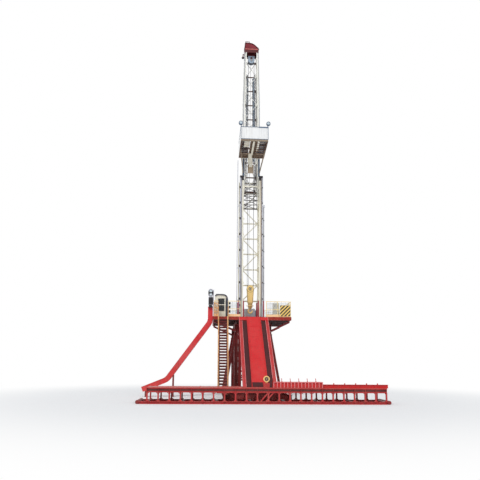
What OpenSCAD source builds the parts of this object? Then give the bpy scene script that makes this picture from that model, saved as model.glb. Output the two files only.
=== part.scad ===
// Land drilling rig of the 2000 m class, seen from its pipe ramp side.
// Millimetres, +Z up, the ramp and the platform lie towards -Y.
// The pieces are placed from the well axis, and rig() moves them so that the
// origin is the middle of the footprint, on the ground.

/* [Drill floor] */
// Height of the drill floor above the ground
floor_z = 6600; // [6000:100:7200]
// From the well to the left edge of the floor
floor_left = 3400; // [3350:50:3800]
// From the well to the right edge of the floor
floor_right = 3200; // [3000:50:3800]
// From the well to the front edge of the floor
floor_front = 3600; // [3500:50:4000]
// From the well to the back edge of the floor
floor_back = 3600; // [3500:50:4000]
// Thickness of the floor plate
deck_t = 40; // [20:5:60]
// Height of the edge channel round the floor
edge_h = 270; // [250:10:360]
// Thickness of the edge channel
edge_t = 80; // [60:5:110]
// Height of the two main beams under the floor
main_beam_h = 600; // [500:20:700]
// Height of the cross beams under the floor
cross_beam_h = 240; // [180:10:300]

/* [Substructure] */
// From the well to a leg of the substructure, sideways
leg_x = 1400; // [1350:10:1500]
// From the well to a leg frame, front and back
leg_y = 3100; // [2900:50:3300]
// Width of a leg
leg_w = 300; // [240:10:340]
// From the well to a base skid, sideways
skid_x = 2350; // [2200:50:2600]
// Height of the base skids
skid_h = 500; // [400:20:600]
// Width of the base skids
skid_w = 260; // [200:10:320]

/* [Front platform] */
// From the well to the left end of the platform
platform_left = 8500; // [8300:50:8900]
// From the well to the right end of the platform
platform_right = 9000; // [8600:100:9800]
// From the left end of the skids to the left edge of the deck
deck_set = 720; // [500:20:900]
// From the well to the front of the platform
platform_front = 10350; // [10200:50:10800]
// From the well to the back of the platform
platform_back = 8200; // [8000:50:8300]
// Height of the platform deck
platform_h = 1100; // [1000:20:1300]
// Height of the top chord
top_chord_h = 300; // [200:10:340]
// Height of the bottom chord
bottom_chord_h = 190; // [180:10:240]
// Width of both chords
chord_w = 180; // [140:10:220]
// Spacing of the platform posts
post_pitch = 740; // [600:20:1000]
// Height of the raised pipe deck over the platform
raised_h = 400; // [360:10:480]
// Length of the raised pipe deck
raised_len = 3450; // [3000:50:4600]

/* [Pipe ramp] */
// Width of the ramp's middle plate
ramp_plate_w = 1160; // [1000:20:1400]
// Width over the ramp's outer rails
ramp_w = 2430; // [2300:20:2700]
// Depth of the ramp's rails
ramp_rail_h = 250; // [180:10:300]
// From the back of the platform to the foot of the ramp
ramp_foot = 1250; // [1150:10:1300]

/* [Stair] */
// Width over the stringers
stair_w = 760; // [700:20:800]
// From the well to the middle of the stair
stair_x = 2530; // [2500:10:2600]
// Length of the stair on the ground
stair_run = 2700; // [2500:50:3000]
// Number of risers
risers = 27; // [25:1:29]
// Height of the stair handrails
stair_rail_h = 950; // [850:50:1100]

/* [Escape slide] */
// Width of the slide
slide_w = 700; // [600:20:760]
// Depth of the slide's sides
slide_d = 400; // [380:10:500]
// Slope of the slide
slide_slope = 54; // [52:1:56]
// Length of the straight slope
slide_run = 5400; // [5200:50:5500]
// From the well to the nose of the slide
slide_reach = 9100; // [9000:50:9300]

/* [Handrails and booth] */
// Height of the floor handrails
rail_h = 1300; // [1000:50:1400]
// Width of the driller's booth
booth_w = 1130; // [900:10:1200]
// Depth of the driller's booth
booth_d = 1700; // [1400:50:1900]
// Height of the driller's booth
booth_h = 2060; // [2000:20:2300]

/* [Mast] */
// Width over the legs of the lower section
lower_w = 2160; // [2100:20:2300]
// Depth over the legs of the lower section
lower_d = 1900; // [1860:20:2100]
// Top of the lower section
lower_top = 20000; // [19600:100:20400]
// Width of a lower leg
lower_leg_w = 360; // [320:10:380]
// Depth of a lower leg
lower_leg_d = 300; // [260:10:320]
// Width over the legs of the upper section
upper_w = 1620; // [1560:10:1640]
// Depth over the legs of the upper section
upper_d = 1200; // [1120:10:1220]
// Width over the legs at the crown
crown_w = 1380; // [1300:10:1440]
// Depth over the legs at the crown
crown_d = 1060; // [1000:10:1120]
// Width of an upper leg
upper_leg_w = 210; // [180:5:220]
// Height where the upper section begins to narrow
taper_z = 27500; // [26500:100:28500]
// Height of the mast top under the crown
mast_top = 32900; // [32700:100:33400]
// Height of a panel of the mast
panel_h = 1490; // [1400:10:1600]
// Thickness of the lattice bars
bar_t = 80; // [60:5:90]

/* [Racking board] */
// Height of the racking board
board_z = 22050; // [21800:50:22400]
// Width of the racking board
board_w = 2390; // [2300:10:2600]
// From the well to the front of the board
board_front = 4250; // [3900:50:4500]
// Height of the wind wall
wind_h = 1150; // [900:50:1300]
// Number of racking fingers on each side
fingers = 8; // [6:1:9]

/* [Hoist] */
// Pitch radius of the large sheaves
sheave_r = 280; // [260:5:290]
// Diameter of the drilling line
line_d = 28; // [22:1:30]
// Number of sheaves in the travelling block
block_sheave_count = 3; // [2:1:3]
// Height of the travelling block's pin at rest
block_z = 9500; // [9400:50:10000]
// Drop of the crown pin below the mast top
crown_drop = 600; // [560:10:640]
// Diameter of the sheave pins
pin_d = 110; // [90:5:120]

/* [Hidden] */

red = [0.80, 0.16, 0.18];
dark_red = [0.58, 0.13, 0.15];
cream = [0.93, 0.91, 0.82];
yellow = [0.93, 0.68, 0.28];
grey = [0.45, 0.47, 0.50];
dark = [0.20, 0.19, 0.19];
white = [0.94, 0.94, 0.94];

// Gap between pieces that seat on each other without being one piece
seat = 0.3;
// Radial clearance of a sheave on its pin
pin_fit = 0.05;
$fn = 48;

rig_mid_x = (slide_reach - platform_right) / 2;
rig_mid_y = (platform_front - floor_back) / 2;

beam_flange = 24;
beam_web = 16;
beam_w = 180;
beam_top = floor_z - deck_t;
leg_top = beam_top - main_beam_h;

lower_x = (lower_w - lower_leg_w) / 2;
lower_y = (lower_d - lower_leg_d) / 2;
lower_inner_x = lower_w / 2 - lower_leg_w;
shoe_t = 40;
lower_foot = floor_z + shoe_t;
first_node = floor_z + 1850;
lower_panels = floor((lower_top - first_node) / panel_h);
upper_leg_d = 200;
upper_x = (upper_w - upper_leg_w) / 2;
upper_y = (upper_d - upper_leg_d) / 2;
crown_x = (crown_w - upper_leg_w) / 2;
crown_y = (crown_d - upper_leg_d) / 2;
lap = 1400;
upper_foot = lower_top - lap;
upper_first = upper_foot + 300;
upper_panels = floor((mast_top - 200 - upper_first) / panel_h);
leg_flange = 26;
leg_web = 18;

rope_r = line_d / 2;
sheave_t = 56;
sheave_rim = 28;
block_pitch = 70;
crown_pitch = 90;
crown_z = mast_top - crown_drop;

// Moves a piece from the well axis to the middle of the footprint
module rig() {
    translate([rig_mid_x, rig_mid_y, 0]) children();
}

module both_sides() {
    children();
    mirror([1, 0, 0]) children();
}

// A straight bar of rectangular section between two points
module bar(a, b, w, h) {
    v = b - a;
    turn = [0, -atan2(v.z, norm([v.x, v.y])), atan2(v.y, v.x)];
    translate(a) rotate(turn) translate([0, -w / 2, -h / 2]) cube([norm(v), w, h]);
}

// A round tube or rod between two points
module rod(a, b, r, sides = 8) {
    v = b - a;
    turn = [0, 90 - atan2(v.z, norm([v.x, v.y])), atan2(v.y, v.x)];
    translate(a) rotate(turn) cylinder(r = r, h = norm(v), $fn = sides);
}

function i_section(h, w, flange, web) = [
    [-w / 2, -h / 2], [w / 2, -h / 2], [w / 2, -h / 2 + flange],
    [web / 2, -h / 2 + flange], [web / 2, h / 2 - flange], [w / 2, h / 2 - flange],
    [w / 2, h / 2], [-w / 2, h / 2], [-w / 2, h / 2 - flange],
    [-web / 2, h / 2 - flange], [-web / 2, -h / 2 + flange], [-w / 2, -h / 2 + flange]
];

// An I-beam between two points, with its web upright
module i_beam(a, b, h, w, flange = beam_flange, web = beam_web) {
    v = b - a;
    turn = [0, -atan2(v.z, norm([v.x, v.y])), atan2(v.y, v.x)];
    translate(a) rotate(turn) rotate([90, 0, 90])
        linear_extrude(norm(v)) polygon(i_section(h, w, flange, web));
}

// An upright H-post whose flanges face sideways and whose web faces front
module h_post(a, b, w, d, flange = leg_flange, web = leg_web) {
    v = b - a;
    turn = [-atan2(v.y, v.z), atan2(v.x, norm([v.y, v.z])), 0];
    translate(a) rotate(turn) linear_extrude(norm(v))
        rotate(90) polygon(i_section(w, d, flange, web));
}

// Keeps what lies inside a box given by two corners
module keep(a, b) {
    intersection() {
        union() children();
        translate(a) cube(b - a);
    }
}

// Front platform
nose_r = 130;
platform_x0 = -platform_left + 2 * nose_r + seat;
platform_x1 = platform_right - 2 * nose_r - seat;
plate_t = 30;
chord_top = platform_h - plate_t;
post_w = 100;
deck_x0 = -platform_left + deck_set;
post_count = floor((platform_x1 - deck_x0 - post_w) / post_pitch);

module platform_truss(y) {
    top_z = chord_top - top_chord_h / 2;
    low_z = bottom_chord_h / 2;
    i_beam([deck_x0, y, top_z], [platform_x1, y, top_z], top_chord_h, chord_w);
    i_beam([platform_x0, y, low_z], [platform_x1, y, low_z], bottom_chord_h, chord_w);
    step = (platform_x1 - deck_x0 - post_w) / post_count;
    for (i = [0 : post_count])
        translate([deck_x0 + i * step, y - post_w / 2, bottom_chord_h - beam_flange])
            cube([post_w, post_w, chord_top - top_chord_h - bottom_chord_h + 2 * beam_flange]);
}

slant_x = [-160, 200];
slant_run = 850;
slant_rise = 975;
slant_over = 115;
slant_w = 60;
slant_d = 80;

// Two slanting bars side by side under the ramp's foot
module slant_bars(y) {
    low = bottom_chord_h - beam_flange;
    high = chord_top - top_chord_h + beam_flange;
    for (x = slant_x)
        keep([x - slant_run, y - slant_d, low], [x + 2 * slant_run, y + slant_d, high])
            bar([x, y, low - slant_over], [x + slant_run, y, low - slant_over + slant_rise], slant_w, slant_d);
}

module platform_front_truss() {
    y = -platform_front + chord_w / 2;
    color(red) rig() {
        platform_truss(y);
        slant_bars(y);
    }
}

module platform_back_truss() {
    color(red) rig() platform_truss(-platform_back - chord_w / 2);
}

module platform_cross_beams() {
    y0 = -platform_front + chord_w + seat;
    y1 = -platform_back - chord_w - seat;
    count = 8;
    step = (platform_x1 - deck_x0 - beam_w) / (count - 1);
    color(dark_red) rig() {
        for (i = [0 : count - 1], z = [bottom_chord_h / 2, chord_top - cross_beam_h / 2]) {
            x = deck_x0 + beam_w / 2 + i * step;
            h = z < platform_h / 2 ? bottom_chord_h : cross_beam_h;
            i_beam([x, y0, z], [x, y1, z], h, beam_w);
        }
        for (x = [-platform_left + nose_r, platform_right - nose_r])
            rod([x, -platform_front, nose_r], [x, -platform_back, nose_r], nose_r, 32);
    }
}

module platform_deck() {
    color(red) rig()
        translate([deck_x0, -platform_front, chord_top])
            cube([platform_x1 - deck_x0, platform_front - platform_back, plate_t]);
}

// The raised deck starts right of the ramp plate and is ribbed all round
raised_x0 = 820;
raised_x1 = raised_x0 + raised_len;
raised_in = 80;
raised_clear = 170;
raised_y0 = -platform_front + raised_in;
raised_y1 = -platform_back - ramp_foot - raised_clear;
raised_top = platform_h + raised_h;
rib = 70;
rib_pitch = 240;
skin = 12;

// The stand of the return sheave, beside the raised deck
sheave_x = 400;
sheave_y = raised_y1 - 260;
stand_w = 420;
stand_d = 300;
stand_top = raised_top - 100;

module raised_deck() {
    ribs = floor((raised_len - rib) / rib_pitch);
    step = (raised_len - rib) / ribs;
    color(red) rig() {
        difference() {
            translate([raised_x0, raised_y0 + rib, platform_h])
                cube([raised_len, raised_y1 - raised_y0 - 2 * rib, raised_h]);
            translate([raised_x0 - 1, raised_y0 + rib + skin, platform_h - 1])
                cube([raised_len + 2, raised_y1 - raised_y0 - 2 * (rib + skin), raised_h - skin + 1]);
        }
        for (i = [0 : ribs], y = [raised_y0, raised_y1 - rib - skin])
            translate([raised_x0 + i * step, y, platform_h])
                cube([rib, rib + skin, raised_h]);
        for (y = [raised_y0, raised_y1 - rib - skin], z = [platform_h, raised_top - rib])
            translate([raised_x0, y, z]) cube([raised_len, rib + skin, rib]);
        translate([sheave_x - stand_w / 2, sheave_y - stand_d / 2, platform_h])
            cube([stand_w, stand_d, stand_top - platform_h]);
    }
}

module pipe_rest_beam() {
    h = 240;
    y = -platform_front + 300;
    x0 = raised_x1 + seat;
    x1 = platform_right - 100;
    color(red) rig() {
        i_beam([x0, y, platform_h + h / 2], [x1, y, platform_h + h / 2], h, 140);
        for (i = [1 : 5])
            translate([x0 + i * (x1 - x0) / 6, y - 40, platform_h + h - 1]) cube([60, 80, 91]);
    }
}

// Substructure
module base_frame() {
    y0 = -platform_back + seat;
    y1 = floor_back - 100;
    color(red) rig() {
        both_sides()
            i_beam([skid_x, y0, skid_h / 2], [skid_x, y1, skid_h / 2], skid_h, skid_w);
        for (y = [-leg_y, leg_y, (y0 - leg_y) / 2])
            i_beam([-skid_x, y, skid_h / 2], [skid_x, y, skid_h / 2], skid_h, skid_w);
    }
}

brace_t = 140;
strut_top = leg_top - 900;

// A welded frame across the rig: two legs, their bracing, the struts that
// spread to the skids and the brackets under the floor's wings
module leg_frame(y) {
    outer = leg_x + leg_w / 2;
    mid_z = (skid_h + leg_top) / 2;
    difference() {
        union() {
            both_sides() {
                h_post([leg_x, y, skid_h], [leg_x, y, leg_top], leg_w, leg_w);
                bar([outer - 60, y, strut_top + 60], [skid_x, y, skid_h - 200], 180, 200);
            }
            for (z = [skid_h + 900, mid_z + 200, leg_top - 200])
                bar([-leg_x, y, z], [leg_x, y, z], brace_t, brace_t);
            bar([-leg_x, y, skid_h + 900], [leg_x, y, mid_z + 200], brace_t - 30, brace_t - 20);
            bar([leg_x, y, mid_z + 200], [-leg_x, y, leg_top - 200], brace_t - 30, brace_t - 20);
            wing_bracket(y, floor_right);
            mirror([1, 0, 0]) wing_bracket(y, floor_left);
        }
        translate([-skid_x - 500, y - 500, skid_h - 1000]) cube([2 * skid_x + 1000, 1000, 1000]);
    }
}

// Bracket from a leg up to the tip of a cross beam
module wing_bracket(y, reach) {
    tip = reach - edge_t - seat;
    under = beam_top - cross_beam_h;
    keep([leg_x, y - 100, leg_top - 800], [tip, y + 100, under - seat])
        bar([leg_x, y, leg_top - 560], [tip + 300, y, under + 60], brace_t - 40, 160);
}

module front_leg_frame() {
    color(red) rig() leg_frame(-leg_y);
}

module back_leg_frame() {
    color(red) rig() leg_frame(leg_y);
}

// Crossed braces between the front and back legs of one side
module brace_pair() {
    y = leg_y - brace_t / 2 - seat;
    z0 = skid_h + 900;
    z1 = leg_top - 200;
    keep([leg_x - 100, -y, skid_h], [leg_x + 100, y, leg_top]) {
        bar([leg_x, -leg_y, z0], [leg_x, leg_y, z1], 120, brace_t);
        bar([leg_x, leg_y, z0], [leg_x, -leg_y, z1], 120, brace_t);
    }
}

module side_braces() {
    color(red) rig() both_sides() brace_pair();
}

// Drill floor
module floor_beams() {
    main_z = beam_top - main_beam_h / 2;
    cross_z = beam_top - cross_beam_h / 2;
    x0 = -floor_left + edge_t + seat;
    x1 = floor_right - edge_t - seat;
    y0 = -floor_front + edge_t + seat;
    y1 = floor_back - edge_t - seat;
    color(dark_red) rig() {
        both_sides() i_beam([leg_x, y0, main_z], [leg_x, y1, main_z], main_beam_h, 240);
        for (y = [-leg_y, -leg_y / 2 - lower_y / 2, -lower_y, lower_y, leg_y / 2 + lower_y / 2, leg_y])
            i_beam([x0, y, cross_z], [x1, y, cross_z], cross_beam_h, beam_w);
    }
}

module floor_edge() {
    z0 = floor_z - edge_h;
    color(yellow) rig() {
        for (y = [-floor_front, floor_back - edge_t])
            translate([-floor_left, y, z0]) cube([floor_left + floor_right, edge_t, edge_h]);
        for (x = [-floor_left, floor_right - edge_t])
            translate([x, -floor_front + edge_t + seat, z0])
                cube([edge_t, floor_front + floor_back - 2 * (edge_t + seat), edge_h]);
    }
}

rotary_r = 560;
rotary_bore = 260;

module drill_floor() {
    x0 = -floor_left + edge_t + seat;
    x1 = floor_right - edge_t - seat;
    y0 = -floor_front + edge_t + seat;
    y1 = floor_back - edge_t - seat;
    color(grey) rig() difference() {
        translate([x0, y0, beam_top]) cube([x1 - x0, y1 - y0, deck_t]);
        translate([0, 0, beam_top - 1]) cylinder(r = rotary_r + seat, h = deck_t + 2);
    }
}

module rotary_table() {
    depth = 250;
    cap = 60;
    color(dark) rig() difference() {
        union() {
            translate([0, 0, floor_z - depth]) cylinder(r = rotary_r, h = depth + 1);
            translate([0, 0, floor_z]) cylinder(r = rotary_r + 90, h = cap);
        }
        translate([0, 0, floor_z - depth - 1]) cylinder(r = rotary_bore, h = depth + cap + 2);
        translate([0, 0, floor_z + cap - 25]) cylinder(r = rotary_bore + 90, h = 26);
    }
}

// Handrails
rail_r = 24;
rail_in = 60;
toe_h = 200;

// A straight rail with posts, a knee rail and a toe board, from a to b
module rail_panel(a, b, h = rail_h) {
    v = b - a;
    bays = max(1, round(norm(v) / 1000));
    for (i = [0 : bays]) {
        p = a + v * i / bays;
        rod(p, p + [0, 0, h], rail_r);
    }
    for (z = [h * 0.5, h]) rod(a + [0, 0, z], b + [0, 0, z], rail_r);
    bar(a + [0, 0, toe_h / 2 + 10], b + [0, 0, toe_h / 2 + 10], 8, toe_h);
}

ramp_half = 1100;
stair_gap = stair_w / 2 + 60;
rail_y0 = -floor_front + rail_in;
rail_x0 = -floor_left + rail_in;
rail_x1 = floor_right - rail_in;
rail_y1 = floor_back - rail_in;

module front_rails() {
    color(cream) rig() {
        rail_panel([rail_x0 + 70, rail_y0, floor_z], [-stair_x - stair_gap, rail_y0, floor_z]);
        rail_panel([-stair_x + stair_gap, rail_y0, floor_z], [-ramp_half, rail_y0, floor_z]);
        rail_panel([ramp_half, rail_y0, floor_z], [rail_x1 - 110, rail_y0, floor_z]);
    }
}

slide_y = 3100;

module side_rails() {
    color(cream) rig() {
        rail_panel([rail_x0, -slide_y + slide_w / 2 + 100, floor_z], [rail_x0, rail_y1 - 110, floor_z]);
        rail_panel([rail_x1, rail_y0, floor_z], [rail_x1, rail_y1 - 110, floor_z]);
    }
}

module back_rail() {
    color(cream) rig()
        rail_panel([rail_x0, rail_y1, floor_z], [rail_x1, rail_y1, floor_z]);
}

module hazard_panel() {
    w = 900;
    t = 12;
    color(yellow) rig()
        translate([rail_x1 - w, rail_y0 - rail_r - seat - t, floor_z + 60]) cube([w, t, 940]);
}

module tool_cabinet() {
    w = 500;
    d = 380;
    h = 1180;
    x = 1690;
    y = rail_y0 + 160;
    color(cream) rig() {
        translate([x, y, floor_z]) cube([w, d, h]);
        translate([x + w / 2, y + d / 2 + 40, floor_z + h - 1]) rotate([90, 0, 0]) difference() {
            cylinder(r = 170, h = 80);
            translate([0, 0, -1]) cylinder(r = 120, h = 82);
            translate([-200, -200, -1]) cube([400, 200, 82]);
        }
    }
}

// Stair
stair_top_y = -floor_front - seat;
stair_end_y = stair_top_y - stair_run;
stair_low = skid_h + 60;
rise = (floor_z - stair_low) / risers;
going = (stair_top_y - stair_end_y) / risers;
stair_slope = atan2(rise, going);
stringer_t = 40;
stringer_h = 260;

// A bar that follows the stair's slope, its top edge lift above the nosings
module along_stair(x, lift, w, h, over = 0) {
    a = [x, stair_top_y + over, floor_z + lift + over * rise / going];
    b = [x, stair_end_y - going, stair_low - rise + lift];
    drop = [0, 0, -h / 2 / cos(stair_slope)];
    bar(a + drop, b + drop, w, h);
}

module stair_stringers() {
    color(cream) rig()
        keep([-stair_x - stair_w, stair_end_y - 600, stair_low + seat],
             [-stair_x + stair_w, stair_top_y, floor_z - seat])
            for (s = [-1, 1])
                along_stair(-stair_x + s * (stair_w - stringer_t) / 2, 460, stringer_t, stringer_h, 300);
}

// The landing that the stair stands on, across the base skid
module stair_landing() {
    w = stair_w + 200;
    color(red) rig()
        translate([-stair_x - w / 2, stair_end_y - 300, skid_h + seat]) cube([w, 700, stair_low - skid_h - seat]);
}

module stair_treads() {
    t = 110;
    w = stair_w - 2 * (stringer_t + seat);
    color(red) rig()
        for (i = [1 : risers - 1])
            translate([-stair_x - w / 2, stair_top_y - (i + 1) * going - 60, floor_z - i * rise - t])
                cube([w, going + 60, t]);
}

// A handrail whose posts stand against the outside of a stringer
module stair_rail(side) {
    x = -stair_x + side * (stair_w / 2 + seat + rail_r);
    posts = 6;
    a = [x, stair_top_y - 60, floor_z - 60 * rise / going];
    b = [x, stair_end_y + 150, stair_low + 150 * rise / going];
    for (i = [0 : posts]) {
        p = a + (b - a) * i / posts;
        rod(p - [0, 0, 300], p + [0, 0, stair_rail_h], rail_r);
    }
    for (z = [stair_rail_h / 2, stair_rail_h]) rod(a + [0, 0, z], b + [0, 0, z], rail_r - 4);
}

module stair_rails() {
    color(cream) rig() for (side = [-1, 1]) stair_rail(side);
}

// Pipe ramp
ramp_top_y = -floor_front - seat;
ramp_end_y = -platform_back - ramp_foot;
ramp_slope = atan2(floor_z - platform_h, ramp_top_y - ramp_end_y);
ramp_len = norm([floor_z - platform_h, ramp_top_y - ramp_end_y]);
ramp_t = 30;
ramp_rail_w = 160;
ramp_outer_w = 260;

// Places children on the slope: -Y runs down it, +Z stands off it
module on_ramp() {
    translate([0, ramp_top_y, floor_z]) rotate([ramp_slope, 0, 0]) children();
}

module ramp_frame() {
    inner = ramp_plate_w / 2 - ramp_rail_w / 2;
    outer = ramp_w / 2 - ramp_outer_w / 2;
    z = -ramp_t - seat - ramp_rail_h / 2;
    ties = 6;
    color(dark_red) rig()
        keep([-ramp_w, ramp_end_y - 1000, platform_h + seat], [ramp_w, ramp_top_y, floor_z])
            on_ramp() {
                both_sides() for (rail = [[inner, ramp_rail_w], [outer, ramp_outer_w]])
                    i_beam([rail[0], 400, z], [rail[0], -ramp_len - 600, z], ramp_rail_h, rail[1]);
                for (i = [0 : ties]) {
                    y = -420 - i * (ramp_len - 900) / ties;
                    bar([-outer, y, z], [outer, y, z], 120, 120);
                }
            }
}

// Dark sheets that close the ramp between its rails
module ramp_sides() {
    x0 = ramp_plate_w / 2 + seat;
    x1 = ramp_w / 2 - ramp_outer_w - seat;
    t = 12;
    color(dark) rig()
        keep([-ramp_w, ramp_end_y - 1000, platform_h + seat], [ramp_w, ramp_top_y - seat, floor_z])
            on_ramp() both_sides()
                translate([x0, -ramp_len - 400, -ramp_t - seat - t]) cube([x1 - x0, ramp_len + 600, t]);
}

module ramp_plate() {
    color(red) rig() keep([-ramp_w, ramp_end_y - 1000, platform_h + seat], [ramp_w, ramp_top_y, floor_z + 200])
        on_ramp() {
            translate([-ramp_plate_w / 2, -ramp_len - 400, -ramp_t])
                cube([ramp_plate_w, ramp_len + 600, ramp_t]);
            both_sides() translate([ramp_plate_w / 2 - 40, -ramp_len - 400, -1])
                cube([40, ramp_len + 400, 81]);
        }
}

// Escape slide
slide_r1 = 700;
slide_r2 = 900;
slide_t = 20;
slide_top = floor_z + 800;
slide_bend = floor_z - 230;
slide_x = -floor_left - seat - slide_d / 2;
turn1 = slide_slope - 90;
turn2 = -68;

// Centre of the second bend, worked out from the end of the straight slope
c1 = [slide_x - slide_r1, slide_bend];
s1 = c1 + slide_r1 * [cos(turn1), sin(turn1)];
s2 = s1 + slide_run * [sin(turn1), -cos(turn1)];
c2 = s2 - slide_r2 * [cos(turn1), sin(turn1)];
s3 = c2 + slide_r2 * [cos(turn2), sin(turn2)];
tail = (slide_d / 2 * cos(turn2) - slide_reach - s3.x) / sin(turn2);
s4 = s3 + tail * [sin(turn2), -cos(turn2)];

// The slide's side view as an open line, o to the right of its middle
function slide_line(o, top) = concat(
    [[slide_x + o, top]],
    [for (i = [0 : 5]) c1 + (slide_r1 + o) * [cos(turn1 * i / 5), sin(turn1 * i / 5)]],
    [for (i = [0 : 5]) let (t = turn1 + (turn2 - turn1) * i / 5) c2 + (slide_r2 + o) * [cos(t), sin(t)]],
    [s4 + o * [cos(turn2), sin(turn2)]]
);

function backwards(p) = [for (i = [len(p) - 1 : -1 : 0]) p[i]];

module slide_band(o0, o1, top, y, w) {
    translate([0, y + w / 2, 0]) rotate([90, 0, 0]) linear_extrude(w)
        polygon(concat(slide_line(o0, top), backwards(slide_line(o1, top))));
}

module escape_slide() {
    half = slide_d / 2;
    color(red) rig() {
        for (s = [-1, 1])
            slide_band(-half, half, slide_top, -slide_y + s * (slide_w - slide_t) / 2, slide_t);
        slide_band(half - slide_t, half, floor_z, -slide_y, slide_w);
        translate([slide_x - half, -slide_y - slide_w / 2, slide_bend])
            cube([slide_t, slide_w, slide_top - slide_bend]);
    }
}

// Two trestles that carry the slide's run-out and its slope
module slide_legs() {
    half = slide_d / 2 + seat;
    foot = s4 + half * [cos(turn2), sin(turn2)];
    toe = s3 + half * [cos(turn2), sin(turn2)];
    grade = (toe.y - foot.y) / (toe.x - foot.x);
    up = 0.06;
    knee = s2 + up * (s1 - s2) + half * [cos(turn1), sin(turn1)];
    color(dark_red) rig() for (p = [[foot.x + 200, foot.y + 200 * grade, 0], [knee.x, knee.y, 1]]) {
        cut = p.z == 0 ? grade : tan(slide_slope);
        difference() {
            union() {
                for (s = [-1, 1])
                    translate([p.x - 50, -slide_y + s * (slide_w / 2 - 60) - 50, 0]) cube([100, 100, p.y + 300]);
                translate([p.x - 50, -slide_y - slide_w / 2, 0]) cube([100, slide_w, 60]);
                translate([p.x - 50, -slide_y - slide_w / 2 + 60, p.y - 260]) cube([100, slide_w - 120, 80]);
            }
            translate([p.x, -slide_y - slide_w, p.y]) rotate([0, -atan(cut), 0])
                translate([-1000, 0, 0]) cube([2000, 2 * slide_w, 1500]);
        }
    }
}

// Driller's booth
booth_x0 = -floor_left + 170;
booth_x1 = booth_x0 + booth_w;
booth_y0 = -2300;
booth_y1 = booth_y0 + booth_d;
booth_t = 50;
booth_r = 420;

// The booth's outline from the front, with a round shoulder on the right
module booth_outline(inset) {
    x0 = booth_x0 + inset;
    x1 = booth_x1 - inset;
    z1 = floor_z + booth_h - inset;
    r = booth_r - inset;
    polygon(concat(
        [[x1, floor_z], [x1, z1 - r]],
        [for (a = [0 : 15 : 90]) [x1 - r + r * cos(a), z1 - r + r * sin(a)]],
        [[x0 + 120, z1], [x0, z1 - 120], [x0, floor_z]]
    ));
}

module booth_shell() {
    door_w = 700;
    color(grey) rig() difference() {
        translate([0, booth_y1, 0]) rotate([90, 0, 0]) linear_extrude(booth_d - booth_t - seat)
            booth_outline(0);
        translate([0, booth_y1 - booth_t, 0]) rotate([90, 0, 0]) linear_extrude(booth_d)
            booth_outline(booth_t);
        translate([booth_x1 - booth_t - 200, booth_y1 - booth_t - 1, floor_z - 1])
            translate([-door_w, 0, 0]) cube([door_w, booth_t + 2, 1901]);
        translate([booth_x1 - booth_t - 1, booth_y0 + 500, floor_z + 1050])
            cube([booth_t + 2, 700, 500]);
    }
}

win_w = 620;
win_x = booth_x0 + 310;
win_h = 440;
win_z = [floor_z + 620, floor_z + 1200];

module booth_front() {
    color(cream) rig() difference() {
        translate([0, booth_y0 + booth_t, 0]) rotate([90, 0, 0]) linear_extrude(booth_t)
            booth_outline(0);
        for (z = win_z)
            translate([win_x, booth_y0 - 1, z]) cube([win_w, booth_t + 2, win_h]);
    }
}

// The panes seat in their openings
module booth_glass() {
    color(dark) rig() {
        for (z = win_z)
            translate([win_x + seat, booth_y0 + 20, z + seat])
                cube([win_w - 2 * seat, 10, win_h - 2 * seat]);
        translate([booth_x1 - 30, booth_y0 + 500 + seat, floor_z + 1050 + seat])
            cube([10, 700 - 2 * seat, 500 - 2 * seat]);
    }
}

post_in = 45;
post_t = 60;
post_h = 2250;
arm_len = 420;
arm_drop = 100;
case_z = 950;
case_h = 650;
case_d = 220;
lamp_r = 210;
lamp_d = 240;
lamp_tall = 280;

// A post on the floor's corner with a hooded case and a tall lamp over it
module lamp_post() {
    x = -floor_left + post_in;
    y = -floor_front + post_in;
    color(grey) rig() {
        translate([x - post_t / 2, y - post_t / 2, floor_z]) cube([post_t, post_t, post_h]);
        translate([x - arm_len, y - 40, floor_z + post_h - arm_drop]) cube([arm_len, 80, post_t]);
        translate([x - arm_len, y - case_d / 2, floor_z + case_z]) cube([arm_len, case_d, case_h]);
        translate([x - lamp_r - 20, y + lamp_d / 2, floor_z + case_z + case_h + lamp_r]) rotate([90, 0, 0])
            linear_extrude(lamp_d) polygon(concat(
                [for (a = [0 : 20 : 180]) [lamp_r * cos(a), lamp_tall + lamp_r * sin(a)]],
                [for (a = [180 : 20 : 360]) [lamp_r * cos(a), lamp_r * sin(a)]]
            ));
    }
}

// Mast
module mast_base() {
    cheek_t = 100;
    cheek_d = lower_leg_d + 120;
    cheek_h = 1700;
    color(red) rig() both_sides() for (s = [-1, 1]) translate([lower_x, s * lower_y, floor_z]) {
        translate([-lower_leg_w / 2 - cheek_t - seat, -cheek_d / 2, 0])
            cube([lower_leg_w + 2 * (cheek_t + seat), cheek_d, shoe_t]);
        both_sides() translate([lower_leg_w / 2 + seat, 0, 0]) rotate([90, 0, 90])
            linear_extrude(cheek_t) polygon([
                [-cheek_d / 2, 0], [cheek_d / 2, 0], [cheek_d / 2, cheek_h * 0.55],
                [cheek_d / 4, cheek_h], [-cheek_d / 4, cheek_h], [-cheek_d / 2, cheek_h * 0.55]
            ]);
    }
}

// A side of the lower section: front and back leg with zig-zag bracing
module lower_side() {
    for (s = [-1, 1])
        h_post([lower_x, s * lower_y, lower_foot], [lower_x, s * lower_y, lower_top], lower_leg_w, lower_leg_d);
    for (i = [0 : lower_panels]) {
        z = first_node + i * panel_h;
        bar([lower_x, -lower_y, z], [lower_x, lower_y, z], bar_t, bar_t);
        if (i < lower_panels) {
            s = i % 2 == 0 ? 1 : -1;
            bar([lower_x, -s * lower_y, z], [lower_x, s * lower_y, z + panel_h], bar_t - 14, bar_t - 10);
        }
    }
}

module lower_mast_left() {
    color(cream) rig() mirror([1, 0, 0]) lower_side();
}

module lower_mast_right() {
    color(cream) rig() lower_side();
}

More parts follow.
